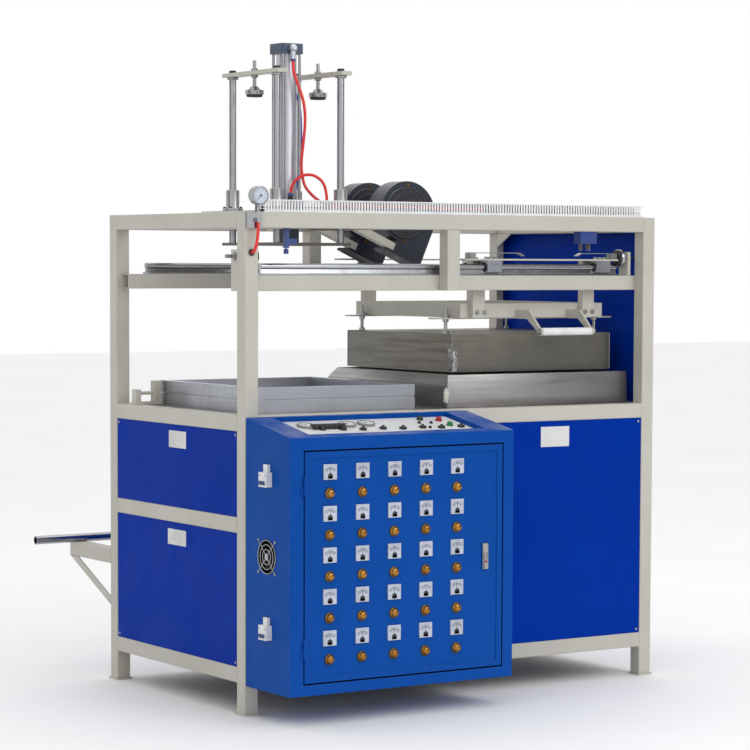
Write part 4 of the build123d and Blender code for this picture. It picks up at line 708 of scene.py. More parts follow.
def stage():
    """Pale floor, dark cards, soft studio light and the camera at the photograph's view."""
    bpy.ops.mesh.primitive_plane_add(size=FLOOR_SIZE, location=(0, 0, 0))
    floor = bpy.context.object
    floor.name = "floor"
    made, tree, shader = start_material("pale_floor")
    mottled = place_group(tree, CLOUDS, Scale=0.8, Low=0.3, High=0.7)["Mask"]
    tree.links.new(
        mix_colours(tree, mottled, FLOOR_COLOUR, (0.87, 0.87, 0.87)), shader["Base Color"]
    )
    shader["Roughness"].default_value = 0.7
    floor.data.materials.append(made)

    for name, place, turn in CARDS:
        bpy.ops.mesh.primitive_plane_add(size=1, location=place)
        card = bpy.context.object
        card.name = name
        card.scale = CARD_SIZE
        card.rotation_euler = (math.radians(90), 0, math.radians(turn))
        made, tree, shader = start_material(name + "_black")
        mottled = place_group(tree, CLOUDS, Scale=0.5, Low=0.3, High=0.7)["Mask"]
        tree.links.new(
            mix_colours(tree, mottled, (0.03, 0.03, 0.035), (0.05, 0.05, 0.05)),
            shader["Base Color"],
        )
        card.data.materials.append(made)
        card.visible_camera = False

    world = bpy.data.worlds.new("studio")
    world.use_nodes = True
    sky = world.node_tree.nodes["Background"]
    sky.inputs["Color"].default_value = WORLD_COLOUR
    sky.inputs["Strength"].default_value = WORLD_STRENGTH
    bpy.context.scene.world = world
    bpy.context.scene.view_settings.view_transform = "Standard"

    for name, place, aim, power in LAMPS:
        lamp = bpy.data.lights.new(name, "AREA")
        lamp.size = LAMP_SIZE
        lamp.energy = power
        holder = place_in_scene(name, lamp)
        holder.location = place
        holder.rotation_euler = (Vector(aim) - Vector(place)).to_track_quat("-Z", "Y").to_euler()

    lens = bpy.data.cameras.new("camera")
    lens.sensor_width = CAMERA_SENSOR
    lens.lens = CAMERA_LENS
    lens.shift_y = CAMERA_SHIFT_Y
    camera = place_in_scene("camera", lens)
    turn = (
        Matrix.Rotation(math.radians(CAMERA_YAW), 4, "Z")
        @ Matrix.Rotation(math.radians(CAMERA_PITCH), 4, "X")
        @ Matrix.Rotation(math.radians(CAMERA_ROLL), 4, "Z")
    )
    camera.matrix_world = Matrix.Translation(CAMERA_PLACE) @ turn
    bpy.context.scene.camera = camera


def box_of(name):
    """Lowest and highest corners of a node."""
    low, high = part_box(name)
    return Vector(low), Vector(high)


def choose(piece):
    """Selects one piece alone and makes it the active one."""
    bpy.ops.object.select_all(action="DESELECT")
    piece.select_set(True)
    bpy.context.view_layer.objects.active = piece


def place_in_scene(name, data):
    """New object of that name in the scene."""
    made = bpy.data.objects.new(name, data)
    bpy.context.scene.collection.objects.link(made)
    return made


def edit(piece):
    """Opens a piece in edit mode with all of it selected, in face mode."""
    choose(piece)
    bpy.ops.object.mode_set(mode="EDIT")
    bpy.ops.mesh.select_mode(type="FACE")
    bpy.ops.mesh.select_all(action="SELECT")


def turned(steps, place, towards=UP, sides=32):
    """Piece turned on a lathe: a disc drawn out and resized at each (height, radius) step."""
    height, radius = steps[0]
    bpy.ops.mesh.primitive_circle_add(
        vertices=sides, radius=radius, fill_type="NGON", location=(0, 0, height)
    )
    piece = bpy.context.object
    bpy.ops.object.transform_apply(location=True)
    edit(piece)
    for (low, wide), (high, narrow) in zip(steps, steps[1:]):
        bpy.ops.mesh.extrude_region_move(TRANSFORM_OT_translate={"value": (0, 0, high - low)})
        share = narrow / wide
        bpy.ops.transform.resize(value=(share, share, 1), center_override=(0, 0, high))
    bpy.ops.mesh.select_all(action="SELECT")
    bpy.ops.mesh.normals_make_consistent(inside=False)
    bpy.ops.object.mode_set(mode="OBJECT")
    piece.rotation_mode = "QUATERNION"
    piece.rotation_quaternion = Vector(towards).to_track_quat("Z", "Y")
    piece.location = place
    bpy.ops.object.transform_apply(location=True, rotation=True, scale=True)
    return piece


def bar(low, high):
    """Square bar or plate between two corners."""
    middle = [(a + b) / 2 for a, b in zip(low, high)]
    bpy.ops.mesh.primitive_cube_add(size=1, location=middle)
    piece = bpy.context.object
    piece.scale = [b - a for a, b in zip(low, high)]
    bpy.ops.object.transform_apply(location=True, rotation=True, scale=True)
    return piece


def block(place, corners):
    """Bar with its two corners given from a place."""
    low, high = corners
    return bar(Vector(place) + Vector(low), Vector(place) + Vector(high))


def foot_corners(low, high, inset):
    """Four places at the foot of a box, each that far in from two of its sides."""
    return [
        Vector((x, y, low.z))
        for x in (low.x + inset, high.x - inset)
        for y in (low.y + inset, high.y - inset)
    ]


def sink(piece, facing, border, depth):
    """Insets the faces that point one way and sinks them."""
    edit(piece)
    bpy.ops.mesh.select_all(action="DESELECT")
    bpy.ops.object.mode_set(mode="OBJECT")
    for face in piece.data.polygons:
        face.select = face.normal.dot(Vector(facing)) > 0.99
    bpy.ops.object.mode_set(mode="EDIT")
    bpy.ops.mesh.inset(thickness=border, depth=0)
    bpy.ops.mesh.extrude_region_move(
        TRANSFORM_OT_translate={"value": [-depth * part for part in facing]}
    )
    bpy.ops.object.mode_set(mode="OBJECT")
    return piece


def line_along(name, points, kind, radius, resolution):
    """Curve with a round section along a line of points; returns the object and its spline."""
    line = bpy.data.curves.new(name, "CURVE")
    line.dimensions = "3D"
    line.bevel_depth = radius
    line.bevel_resolution = resolution
    line.use_fill_caps = True
    run = line.splines.new(kind)
    run.points.add(len(points) - 1)
    for spot, point in zip(run.points, points):
        spot.co = (*point, 1)
    return place_in_scene(name, line), run


def wire(points, radius, closed=False):
    """Round wire along a line of points."""
    piece, run = line_along("wire", points, "POLY", radius, 3)
    run.use_cyclic_u = closed
    choose(piece)
    bpy.ops.object.convert(target="MESH")
    return bpy.context.object


def spoke(degrees, across=RIGHTWARD, upwards=UP):
    """Unit vector at an angle in the plane of two unit vectors."""
    turn = math.radians(degrees)
    return math.cos(turn) * Vector(across) + math.sin(turn) * Vector(upwards)


def circle_points(centre, across, upwards, radius, start=0, end=360, count=32):
    """Points of an arc in the plane of two unit vectors."""
    steps = count if end - start == 360 else count - 1
    return [
        Vector(centre) + radius * spoke(start + (end - start) * index / steps, across, upwards)
        for index in range(count)
    ]


def joined(pieces):
    """Several pieces made one."""
    bpy.ops.object.select_all(action="DESELECT")
    for piece in pieces:
        piece.select_set(True)
    bpy.context.view_layer.objects.active = pieces[0]
    if len(pieces) > 1:
        bpy.ops.object.join()
    return bpy.context.view_layer.objects.active


def repeated(piece, moves):
    """Copies of a piece, one at each move from its own place, made one."""
    copies = []
    for move in moves:
        twin = piece.copy()
        twin.data = piece.data.copy()
        twin.location = move
        bpy.context.scene.collection.objects.link(twin)
        copies.append(twin)
    bpy.data.objects.remove(piece)
    whole = joined(copies)
    bpy.ops.object.transform_apply(location=True, rotation=True, scale=True)
    return whole


def settle(piece, name, body, slot, *nodes, look=None, bevel=0.0, smooth=38):
    """Gives a finished piece its name, rounding, finish and body, and hides the nodes it replaces."""
    choose(piece)
    piece.name = name
    piece.data.name = name
    if bevel:
        rounding = piece.modifiers.new("rounding", "BEVEL")
        rounding.width = bevel
        rounding.segments = 2
        rounding.limit_method = "ANGLE"
        rounding.angle_limit = math.radians(40)
        bpy.ops.object.modifier_apply(modifier="rounding")
    bpy.ops.object.shade_smooth_by_angle(angle=math.radians(smooth))
    piece.data.materials.clear()
    piece.data.materials.append(look or MATERIALS[slot])
    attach(piece, body)
    if nodes:
        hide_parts(*nodes)
    return piece


def nut(place, towards, radius, height):
    """Hexagon nut or bolt head with a worn chamfer, on a washer."""
    washer = turned([(0, radius * 1.15), (height * 0.15, radius * 1.15)], place, towards, 20)
    steps = [(height * 0.15, radius), (height * 0.85, radius), (height, radius * 0.84)]
    return joined([turned(steps, place, towards, 6), washer])


def screw(place, towards, radius, height):
    """Round screw head with a socket."""
    steps = [(0, radius), (height * 0.6, radius), (height, radius * 0.75), (height, radius * 0.4)]
    return turned([*steps, (height * 0.4, radius * 0.38)], place, towards, 16)


def hoses():
    """The free hoses, on the routes of the frame's tubes."""
    for name, node_name, route, corner, diameter, length, slot in (
        ("long_red_hose", "hose_long", LONG_HOSE, PRESS_TOP, 0.010, 0.5545, "hose_red"),
        ("looped_red_hose", "hose_loop", LOOP_HOSE, PRESS_TOP, 0.010, 0.2324, "hose_red"),
        ("long_blue_hose", "hose_blue", BLUE_HOSE, PRESS_TOP, 0.008, 0.5036, "hose_blue"),
        ("red_hose_to_gauge", "gauge_hose", GAUGE_HOSE, POST_TOP, 0.010, 0.1122, "hose_red"),
    ):
        points = [Vector(corner) + Vector(point) for point in route]
        piece, run = line_along(name, points, "NURBS", diameter / 2, 4)
        run.order_u = 3
        run.use_endpoint_u = True
        run.resolution_u = 8
        piece.data.materials.append(MATERIALS[slot])
        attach(piece, "machine")
        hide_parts(node_name)


def door_grid():
    """Places of the meters' middles on the face of the door, from the frame's meters."""
    low, high = box_of("panel_meters")
    half = METER_SIZE / 2
    step_x = (high.x - low.x - METER_SIZE) / (METER_COLUMNS - 1)
    step_z = (high.z - low.z - METER_SIZE) / (METER_ROWS - 1)
    spots = [
        Vector((low.x + half + column * step_x, high.y, high.z - half - row * step_z))
        for column in range(METER_COLUMNS)
        for row in range(METER_ROWS)
    ]
    return spots, box_of("knobs")[1].z - KNOB_R - (high.z - half)


def door_fittings():
    """Meters with their dials and shrouds, knobs on black rings of painted shade, and the lock."""
    spots, drop = door_grid()
    half = METER_SIZE / 2
    front = -METER_PROUD
    case = sink(bar((-half, front, -half), (half, 0, half)), FORWARD, METER_BORDER, METER_SINK)
    settle(
        repeated(case, spots),
        "meter_cases",
        "door",
        "white_plastic",
        "panel_meters",
        look=MATERIALS["meter_plastic"],
        bevel=0.0008,
    )
    glass_y = front + METER_GLASS
    pivot = (0, glass_y, METER_PIVOT_Z)
    arcs = [
        wire(circle_points(pivot, RIGHTWARD, UP, radius, *METER_ARC_SWEEP, 12), METER_LINE_R)
        for radius in METER_ARCS
    ]
    arcs.append(block((0, glass_y, 0), METER_NEEDLE))
    settle(repeated(joined(arcs), spots), "meter_scales", "door", "black_plastic")
    arch = turned([(0, SHROUD_R), (SHROUD_PROUD, SHROUD_R)], (0, glass_y, SHROUD_Z), FORWARD, 24)
    foot = bar(
        (-SHROUD_R, glass_y - SHROUD_PROUD, -half + METER_BORDER), (SHROUD_R, glass_y, SHROUD_Z)
    )
    settle(
        repeated(joined([arch, foot]), spots),
        "meter_shrouds",
        "door",
        "black_plastic",
        bevel=0.0003,
    )

    below = [spot + Vector((0, 0, drop)) for spot in spots]
    # Painted shade: a black ring under each knob stands for the shade at its base.
    shade_ring = turned(KNOB_SHADE_RING, (0, 0, 0), FORWARD, 28)
    settle(repeated(shade_ring, below), "knob_shade_rings", "door", "black_plastic")
    knob = turned(KNOB_SKIRT + KNOB_CROWN, (0, 0, 0), FORWARD, 28)
    settle(repeated(knob, below), "turned_knobs", "door", "gold_metal", "knobs", smooth=50)

    low, high = box_of("door_lock")
    middle = (low + high) / 2
    plate = sink(bar(low, high), FORWARD, *LATCH_SINK)
    latch = block((middle.x, low.y, middle.z), LATCH)
    settle(joined([plate, latch]), "door_latch", "door", "zinc_steel", "door_lock", bevel=0.0012)
    button = turned(LATCH_BUTTON, (middle.x, low.y - 0.002, high.z - LATCH_BUTTON_DROP), FORWARD, 20)
    settle(button, "latch_button", "door", "zinc_steel", look=MATERIALS["red_cap"])


def instruments():
    """Dials, connectors, switches and buttons in the well of the cabinet's top."""
    low = box_of("instrument_panel")[0]
    lift = INSTRUMENT_THICK / math.cos(PANEL_SLOPE)
    upward = Vector((0, -math.sin(PANEL_SLOPE), math.cos(PANEL_SLOPE)))

    def on_panel(x, y):
        """Point of the panel's face above a place in plan."""
        return Vector((x, y, low.z + lift + (y - low.y) * math.tan(PANEL_SLOPE)))

    rims = []
    faces = []
    for x, y in DIALS:
        rims.append(turned(DIAL_RIM, on_panel(x, y), upward, 40))
        faces.append(turned(DIAL_FACE, on_panel(x, y), upward, 40))
    settle(joined(rims), "dial_rims", "machine", "white_plastic", look=MATERIALS["grey_plastic"])
    settle(joined(faces), "dial_faces", "machine", "white_plastic")
    needles = []
    for x, y in DIALS:
        start = on_panel(x, y) + NEEDLE_LIFT * upward
        needles.append(wire([start, start + Vector(NEEDLE_RUN)], NEEDLE_R))
        needles.append(turned(DIAL_PIVOT, on_panel(x, y), upward, 16))
    settle(joined(needles), "dial_needles", "machine", "black_plastic")

    blocks = []
    for index in range(CONNECTORS):
        x = CONNECTOR_X[0] + (CONNECTOR_X[1] - CONNECTOR_X[0]) * index / (CONNECTORS - 1)
        blocks.append(block(on_panel(x, CONNECTOR_Y), CONNECTOR))
    for x, y in SWITCHES:
        blocks.append(block(on_panel(x, y), SWITCH_BASE))
        blocks.append(block(on_panel(x, y), SWITCH_LEVER))
    blocks.append(turned(LAMP_DOME, on_panel(*LAMP), upward))
    for x, y in SMALL_CAPS:
        blocks.append(turned(SMALL_CAP, on_panel(x, y), upward, 20))
    settle(joined(blocks), "panel_switches", "machine", "black_plastic", bevel=0.0008)
    for name, place, look in (
        ("stop_button", RED_BUTTON, "red_cap"), ("start_button", GREEN_BUTTON, "green_cap")
    ):
        cap = turned(PUSH_BUTTON, on_panel(*place), upward)
        settle(cap, name, "machine", "white_plastic", look=MATERIALS[look])


def cabinet_side():
    """Toggles and screws of the breakers, and the wire guard of the fan."""
    low, high = box_of("circuit_breakers")
    toggles = []
    screws = []
    for bottom in (low.z, high.z - BREAKER_SIZE - CABLE_CLAMP):
        face = Vector((low.x, low.y + BREAKER_SIZE / 2, bottom + BREAKER_SIZE / 2))
        for side in (-1, 0, 1):
            spot = face + Vector((0, side * TOGGLE_PITCH, -TOGGLE_DROP))
            toggles.append(block(spot, TOGGLE))
        across, above = BREAKER_SCREW_OFFSET
        for side in (-across, across):
            screws.append(screw(face + Vector((0, side, above)), LEFTWARD, *BREAKER_SCREW))
    settle(joined(toggles), "breaker_toggles", "machine", "blue_plastic", bevel=0.0008)
    settle(joined(screws), "breaker_screws", "machine", "zinc_steel")

    low, high = box_of("fan_guard")
    centre = Vector((low.x + GUARD_WIRE, (low.y + high.y) / 2, (low.z + high.z) / 2))
    wires = [
        wire(circle_points(centre, BACKWARD, UP, radius, count=48), GUARD_WIRE, closed=True)
        for radius in GUARD_RINGS
    ]
    screws = []
    for turn in (45, 135, 225, 315):
        reach = spoke(turn, BACKWARD)
        tip = centre + GUARD_REACH * reach
        wires.append(wire([centre + GUARD_START * reach, tip], GUARD_WIRE))
        screws.append(screw(tip + Vector(GUARD_SCREW_SHIFT), LEFTWARD, *GUARD_SCREW))
    wires.append(turned(GUARD_HUB, centre, LEFTWARD, 28))
    settle(joined(wires), "wire_guard", "machine", "bright_steel", "fan_guard", smooth=60)
    settle(joined(screws), "guard_screws", "machine", "zinc_steel")


def gauge_face():
    """Case, dial, marks and pointer of the vacuum gauge."""
    low, high = box_of("vacuum_gauge")
    centre = Vector((GAUGE_X, low.y, high.z - GAUGE_R))
    settle(turned(GAUGE_CASE, centre, FORWARD, 48), "gauge_case", "machine", "bright_steel")
    face = turned(GAUGE_DIAL, centre, FORWARD, 40)
    settle(face, "gauge_dial", "machine", "white_plastic", look=MATERIALS["meter_plastic"])
    front = centre + GAUGE_MARK_LIFT * Vector(FORWARD)
    marks = []
    for index in range(GAUGE_MARKS):
        reach = spoke(GAUGE_ZERO - GAUGE_STEP * index)
        marks.append(wire([front + place * reach for place in GAUGE_TICK], GAUGE_TICK_R))
    reach = spoke(GAUGE_ZERO)
    marks.append(wire([front + place * reach for place in GAUGE_POINTER], GAUGE_POINTER_R))
    marks.append(turned(GAUGE_PIVOT, front, FORWARD, 20))
    settle(joined(marks), "gauge_marks", "machine", "black_plastic")


def slotted_duct():
    """Wiring duct with fingers along both sides and a snapped lid, and a hose and wires in it."""
    low, high = box_of("wiring_duct")
    pieces = [
        bar((low.x, low.y + DUCT_WALL, low.z), (high.x, high.y - DUCT_WALL, low.z + DUCT_WALL)),
        bar((low.x, low.y + DUCT_WALL, high.z - DUCT_WALL), (high.x, high.y - DUCT_WALL, high.z)),
    ]
    count = int((high.x - low.x) / DUCT_PITCH)
    for y in (low.y, high.y - DUCT_WALL):
        pieces.append(bar((low.x, y, low.z), (high.x, y + DUCT_WALL, low.z + DUCT_FOOT)))
        pieces.append(bar((low.x, y, high.z - DUCT_LIP), (high.x, y + DUCT_WALL, high.z)))
        start = (low.x + DUCT_SLACK, y + DUCT_SLACK, low.z + DUCT_FOOT - DUCT_SLACK)
        finger = bar(
            start,
            (start[0] + DUCT_FINGER, y + DUCT_WALL - DUCT_SLACK, high.z - DUCT_LIP + DUCT_SLACK),
        )
        row = finger.modifiers.new("row", "ARRAY")
        row.count = count
        row.use_relative_offset = False
        row.use_constant_offset = True
        row.constant_offset_displace = (DUCT_PITCH, 0, 0)
        choose(finger)
        bpy.ops.object.modifier_apply(modifier="row")
        pieces.append(finger)
    settle(joined(pieces), "slotted_duct", "machine", "white_plastic", "wiring_duct")
    route = [(x, low.y + DUCT_HOSE_INSET, high.z - drop) for x, drop in DUCT_HOSE]
    inner = wire(route, DUCT_HOSE_R)
    settle(inner, "hose_in_duct", "machine", "hose_red")
    wires = []
    for index in range(DUCT_WIRES):
        y = low.y + DUCT_WIRE_START[0] + index * DUCT_WIRE_STEP[0]
        z = low.z + DUCT_WIRE_START[1] + (index % 2) * DUCT_WIRE_STEP[1]
        ends = [(low.x + DUCT_WIRE_INSET, y, z), (high.x - DUCT_WIRE_INSET, y, z)]
        wires.append(wire(ends, DUCT_WIRE_R))
    settle(joined(wires), "duct_wires", "machine", "black_plastic")


def blower_fronts():
    """Inlet rings, ribs and screws of the blowers, and their motors."""
    low = box_of("blowers")[0]
    rims, ribs, dark, screws, motors = [], [], [], [], []
    for y in (low.y, low.y + BLOWER_SPACING):
        centre = Vector((BLOWER_X, y, BLOWER_Z))
        rims.append(turned(INLET_RIM, centre, FORWARD, 64))
        dark.append(turned(INLET_SHADOW, centre, FORWARD, 48))
        for radius in INLET_RINGS:
            ring = circle_points(centre, RIGHTWARD, UP, radius, count=48)
            rims.append(wire(ring, INLET_RING_WIRE, closed=True))
        for index in range(INLET_RIBS):
            reach = spoke(360 * index / INLET_RIBS)
            ribs.append(wire([centre + place * reach for place in INLET_RIB], INLET_RIB_WIRE))
        rims.append(turned(INLET_HUB, centre, FORWARD, 40))
        for side in (-1, 1):
            reach = side * INLET_SCREW_R * spoke(90 - INLET_SCREW_TURN)
            place = centre + reach + Vector(INLET_SCREW_SHIFT)
            screws.append(screw(place, FORWARD, *INLET_SCREW))
        back = Vector((BLOWER_X, y + BLOWER_BACK, BLOWER_Z))
        motors.append(turned(MOTOR, back, BACKWARD, 48))
        for index in range(MOTOR_FINS):
            start = back + MOTOR_R * spoke(360 * index / MOTOR_FINS)
            run = [start + Vector((0, y_run, 0)) for y_run in MOTOR_FIN_RUN]
            ribs.append(wire(run, MOTOR_FIN_WIRE))
    settle(joined(rims), "inlet_rims", "machine", "blower_paint")
    settle(joined(ribs), "inlet_ribs", "machine", "blower_paint")
    settle(joined(dark), "inlet_shadows", "machine", "black_plastic")
    settle(joined(screws), "inlet_screws", "machine", "gold_metal")
    settle(joined(motors), "blower_motors", "machine", "blower_paint")


def press_rounds():
    """Turned parts of the press: bushings, barrel, tie rods, collars and nuts."""
    low, high = box_of("guide_bushings")
    corners = foot_corners(low, high, BUSHING_FLANGE_R)
    bushing = turned(BUSHING_FLANGE + BUSHING_BODY, (0, 0, 0))
    settle(repeated(bushing, corners), "bushings", "machine", "zinc_steel", "guide_bushings")
    bolts = []
    for turn in (45, 135, 225, 315):
        spot = FLANGE_SCREW_RING * spoke(turn, RIGHTWARD, BACKWARD) + FLANGE_THICK * Vector(UP)
        bolts.append(screw(spot, UP, *FLANGE_SCREW))
    settle(repeated(joined(bolts), corners), "flange_screws", "machine", "black_plastic")

    low, high = box_of("cylinder_barrel")
    centre = (low + high) / 2
    length = high.z - low.z
    tube = turned([(0, BARREL_R), (length, BARREL_R)], (centre.x, centre.y, low.z), UP, 56)
    places = [
        (centre.x + x, centre.y + y)
        for x in (-TIE_PLACE, TIE_PLACE)
        for y in (-TIE_PLACE, TIE_PLACE)
    ]
    ties = [turned([(0, TIE_R), (length, TIE_R)], (x, y, low.z), UP, 16) for x, y in places]
    look = MATERIALS["barrel_aluminium"]
    settle(tube, "barrel_tube", "machine", "bright_steel", "cylinder_barrel", look=look)
    settle(joined(ties), "tie_rods", "machine", "bright_steel")
    mouth = Vector(PRESS_TOP) + Vector(LONG_HOSE[0])
    banjo = turned(BANJO_STEM, mouth, UP, 28)
    eye = turned(BANJO_EYE, mouth + Vector(BANJO_EYE_OFFSET), FORWARD, 28)
    settle(joined([banjo, eye]), "silver_banjo", "machine", "zinc_steel", look=look)
    top = box_of("cylinder_caps")[1].z
    caps = [screw((x, y, top - CAP_SCREW[1]), UP, *CAP_SCREW) for x, y in places]
    settle(joined(caps), "cap_screws", "machine", "zinc_steel")

    low, high = box_of("rod_collars")
    rods = foot_corners(low, high, COLLAR_R)
    collar = turned(COLLAR, (0, 0, 0), UP, 40)
    top_nut = nut((0, 0, high.z - low.z - NUT_HEIGHT), UP, CAP_NUT_R, NUT_HEIGHT)
    settle(repeated(collar, rods), "turned_collars", "press", "zinc_steel", "rod_collars")
    settle(repeated(top_nut, rods), "rod_nuts", "press", "zinc_steel", look=MATERIALS["dark_steel"])


def bumper_pieces(ends, name, body, node_name):
    """Rubber pads and cups with studs; each end is its rubber's face, the way back and the length."""
    rubbers = [turned(BUMPER_RUBBER, face, back, 40) for face, back, length in ends]
    cups = [turned([*BUMPER_CUP, (length, STUD_R)], face, back, 40) for face, back, length in ends]
    settle(joined(rubbers), name + "_rubbers", body, "rubber_black", node_name)
    settle(joined(cups), name + "_cups", body, "bright_steel")


def bumpers():
    """End stops of the oven on the front beam and of the press under its top bars."""
    low, high = box_of("stop_bumpers")
    y = (low.y + high.y) / 2
    z = (low.z + high.z) / 2
    stop_low, stop_high = box_of("stop_plates")
    left = Vector((LEFT_BUMPER_FACE, y, z))
    right = Vector((RIGHT_BUMPER_FACE, y, z))
    ends = ((left, LEFTWARD, left.x - low.x), (right, RIGHTWARD, high.x - right.x))
    bumper_pieces(ends, "stop", "machine", "stop_bumpers")
    nuts = [
        nut(Vector((stop_low.x, y, z)), LEFTWARD, *STOP_NUT),
        nut(Vector((stop_low.x + STOP_THICK, y, z)), RIGHTWARD, *STOP_NUT),
        nut(Vector((stop_high.x, y, z)), RIGHTWARD, *STOP_NUT),
    ]
    settle(joined(nuts), "stop_nuts", "machine", "zinc_steel")

    low, high = box_of("press_bumpers")
    bars_low, bars_high = box_of("top_bars")
    y = (low.y + high.y) / 2
    faces = [Vector((x, y, low.z)) for x in (low.x + CUP_R, high.x - CUP_R)]
    bumper_pieces([(face, UP, high.z - low.z) for face in faces], "press", "press", "press_bumpers")
    nuts = []
    for face in faces:
        nuts.append(nut(Vector((face.x, y, bars_high.z)), UP, *STOP_NUT))
        nuts.append(nut(Vector((face.x, y, bars_low.z)), DOWN, *STOP_NUT))
    settle(joined(nuts), "press_nuts", "press", "zinc_steel")


def oven_fittings():
    """Rods, nuts, roller grip, seals and screws of the oven's carriage."""
    low, high = box_of("hanging_rods")
    length = high.z - low.z
    ring_z = length - ROD_TAIL
    steps = [(0, ROD_R), (length - ROD_TIP, ROD_R), (length, ROD_R - ROD_TIP)]
    rod = turned(steps, (0, 0, 0), UP, 20)
    nuts = [
        nut((0, 0, 0), UP, *ROD_NUT),
        nut((0, 0, ring_z), UP, *ROD_NUT),
        nut((0, 0, ring_z - FLAT_THICK), DOWN, *ROD_NUT),
    ]
    settle(
        repeated(joined([rod, *nuts]), foot_corners(low, high, ROD_NUT_R)),
        "rods_and_nuts",
        "oven",
        "zinc_steel",
        "hanging_rods",
    )

    low, high = box_of("handle_grip")
    middle = (low + high) / 2
    span = high.x - low.x
    steps = [
        (0.0005, GRIP_R - 0.0015), (0.002, GRIP_R),
        (span - 0.002, GRIP_R), (span - 0.0005, GRIP_R - 0.0015),
    ]
    settle(
        turned(steps, (low.x, middle.y, middle.z), RIGHTWARD, 36),
        "roller_grip",
        "oven",
        "white_plastic",
        "handle_grip",
    )
    ends = [
        nut(Vector((low.x - ARM_THICK, middle.y, middle.z)), LEFTWARD, *GRIP_NUT),
        nut(Vector((high.x + ARM_THICK, middle.y, middle.z)), RIGHTWARD, *GRIP_NUT),
    ]
    settle(joined(ends), "grip_nuts", "oven", "zinc_steel")

    low, high = box_of("bearing_blocks")
    size = BEARING_LENGTH
    nuts = []
    seals = []
    screws = []
    for x in (low.x + size / 2, high.x - size / 2):
        for y in (low.y + BEARING_WIDTH / 2, high.y - BEARING_WIDTH / 2):
            for side in (-1, 0, 1):
                place = (x + side * BAR_NUT_PITCH, y, high.z + BAR_THICK)
                nuts.append(nut(place, UP, *BAR_NUT))
            for side, towards in ((-1, LEFTWARD), (1, RIGHTWARD)):
                start = Vector((x + side * size / 2, y, high.z - SHAFT_DROP))
                seals.append(turned(SEAL, start, towards, 32))
        screws.append(screw(Vector((x, low.y, high.z - BLOCK_SCREW_DROP)), FORWARD, *BLOCK_SCREW))
    settle(joined(nuts), "bearing_nuts", "oven", "zinc_steel")
    settle(joined(seals), "bearing_seals", "oven", "rubber_black")
    settle(joined(screws), "bearing_screws", "oven", "zinc_steel")

    bolts = [nut(Vector((x, STRAP_FRONT, STRAP_BOLT_Z)), FORWARD, *STRAP_NUT) for x in STRAP_BOLTS]
    settle(joined(bolts), "strap_bolts", "oven", "zinc_steel")


def labels_and_screws():
    """Blank labels and corner screws of the blue sheet panels."""
    low, high = box_of("side_panels")
    front = box_of("front_panel")[0]
    sheets = [
        bar((low.x - LABEL_THICK, y0, z0), (low.x + 0.001, y1, z1))
        for (y0, z0), (y1, z1) in SIDE_LABELS
    ]
    (x0, z0), (x1, z1) = FRONT_LABEL
    sheets.append(bar((x0, front.y - LABEL_THICK, z0), (x1, front.y + 0.001, z1)))
    settle(joined(sheets), "blank_labels", "machine", "white_plastic", look=MATERIALS["blank_label"])
    screws = []
    for z in (low.z + SCREW_INSET, high.z - SCREW_INSET):
        for y in (low.y + SCREW_INSET, high.y - SCREW_INSET):
            screws.append(screw((low.x, y, z), LEFTWARD, *PANEL_SCREW))
    front, front_high = box_of("front_panel")
    for z in (front.z + SCREW_INSET, front_high.z - SCREW_INSET):
        for x in (front.x + SCREW_INSET, front_high.x - SCREW_INSET):
            screws.append(screw((x, front.y, z), FORWARD, *PANEL_SCREW))
    settle(joined(screws), "panel_screws", "machine", "zinc_steel")


def crumpled(piece, size, seed):
    """Moves the corners of a piece about at random, as in foil or wool."""
    chance = random.Random(seed)
    for corner in piece.data.vertices:
        corner.co += Vector([chance.uniform(-size, size) for _ in range(3)])
    return piece


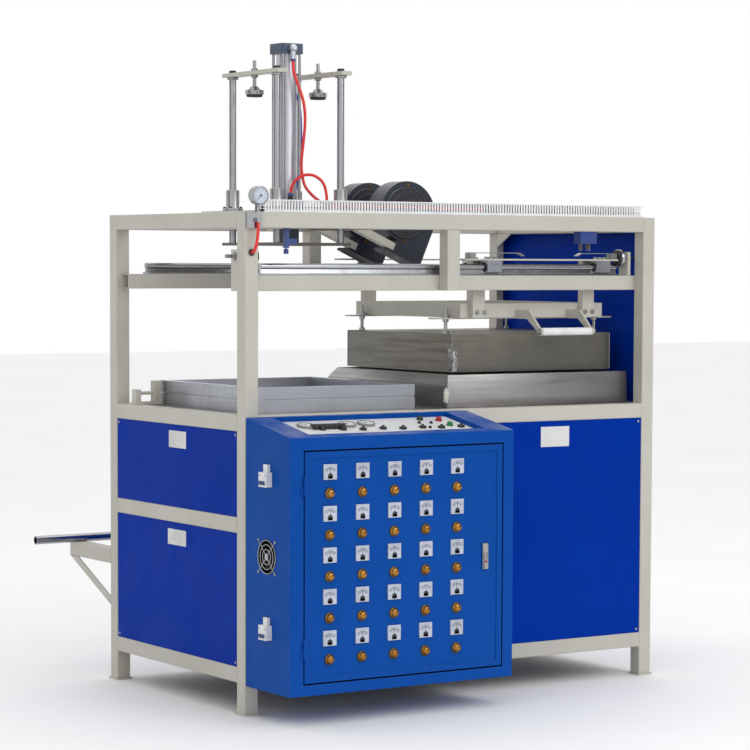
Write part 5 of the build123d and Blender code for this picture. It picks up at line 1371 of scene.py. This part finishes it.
def oven_corner():
    """Seams of the oven box, front plate of the tray, and foil tape and wool at their corner."""
    low, high = box_of("oven_box")
    strips = []
    for corners in FOIL_STRIPS:
        strip = block(low, corners)
        edit(strip)
        bpy.ops.mesh.subdivide(number_cuts=FOIL_CUTS)
        bpy.ops.object.mode_set(mode="OBJECT")
        strips.append(crumpled(strip, FOIL_CRUMPLE, 3))
    settle(joined(strips), "foil_tape", "oven", "sheet_steel", look=MATERIALS["foil"], smooth=20)
    seams = []
    for y, x in ((low.y, low.x), (low.y, high.x), (high.y, low.x), (high.y, high.x)):
        seams.append(wire([(x, y, low.z + 0.002), (x, y, high.z - 0.002)], SEAM_R))
    settle(joined(seams), "corner_seams", "oven", "sheet_steel", look=MATERIALS["tray_steel"])
    low, high = box_of("oven_tray")
    bpy.ops.mesh.primitive_ico_sphere_add(
        subdivisions=3, radius=1, location=(low.x - 0.004, low.y - 0.003, WOOL_Z)
    )
    tuft = bpy.context.object
    tuft.scale = WOOL_HALF
    bpy.ops.object.transform_apply(location=True, rotation=True, scale=True)
    plate = bar((low.x + 0.003, low.y - PLATE_PROUD, low.z), (high.x - 0.003, low.y + 0.0005, high.z))
    settle(
        plate,
        "tray_front_plate",
        "machine",
        "sheet_steel",
        look=MATERIALS["tray_steel"],
        bevel=0.0006,
    )
    look = MATERIALS["mineral_wool"]
    settle(crumpled(tuft, WOOL_CRUMPLE, 5), "wool_tuft", "machine", "sheet_steel", look=look, smooth=60)


def small_rounds():
    """Bowls of the air unit and push rings on the mouths of the hose fittings."""
    low, high = box_of("air_unit")
    bowls = []
    for x, radius in BOWLS:
        steps = [(0, radius * 0.6), (0.003, radius * 0.9), (0.006, radius), (0.0255, radius)]
        bowls.append(turned(steps, (x, (low.y + high.y) / 2, low.z - 0.0005), UP, 28))
    settle(joined(bowls), "air_bowls", "machine", "black_plastic", look=MATERIALS["smoked_plastic"])
    rings = []
    for place, towards in (
        (LONG_HOSE[0], DOWN), (LOOP_HOSE[0], UP), (BLUE_HOSE[0], DOWN),
        (LOOP_HOSE[-1], UP), (BLUE_HOSE[-1], UP),
    ):
        start = Vector(PRESS_TOP) + Vector(place)
        rings.append(turned(PUSH_RING, start, towards, 24))
    settle(joined(rings), "push_rings", "machine", "blue_plastic")


stage()
dress_nodes()
door_fittings()
instruments()
cabinet_side()
gauge_face()
slotted_duct()
blower_fronts()
press_rounds()
bumpers()
oven_fittings()
small_rounds()
labels_and_screws()
oven_corner()
hoses()
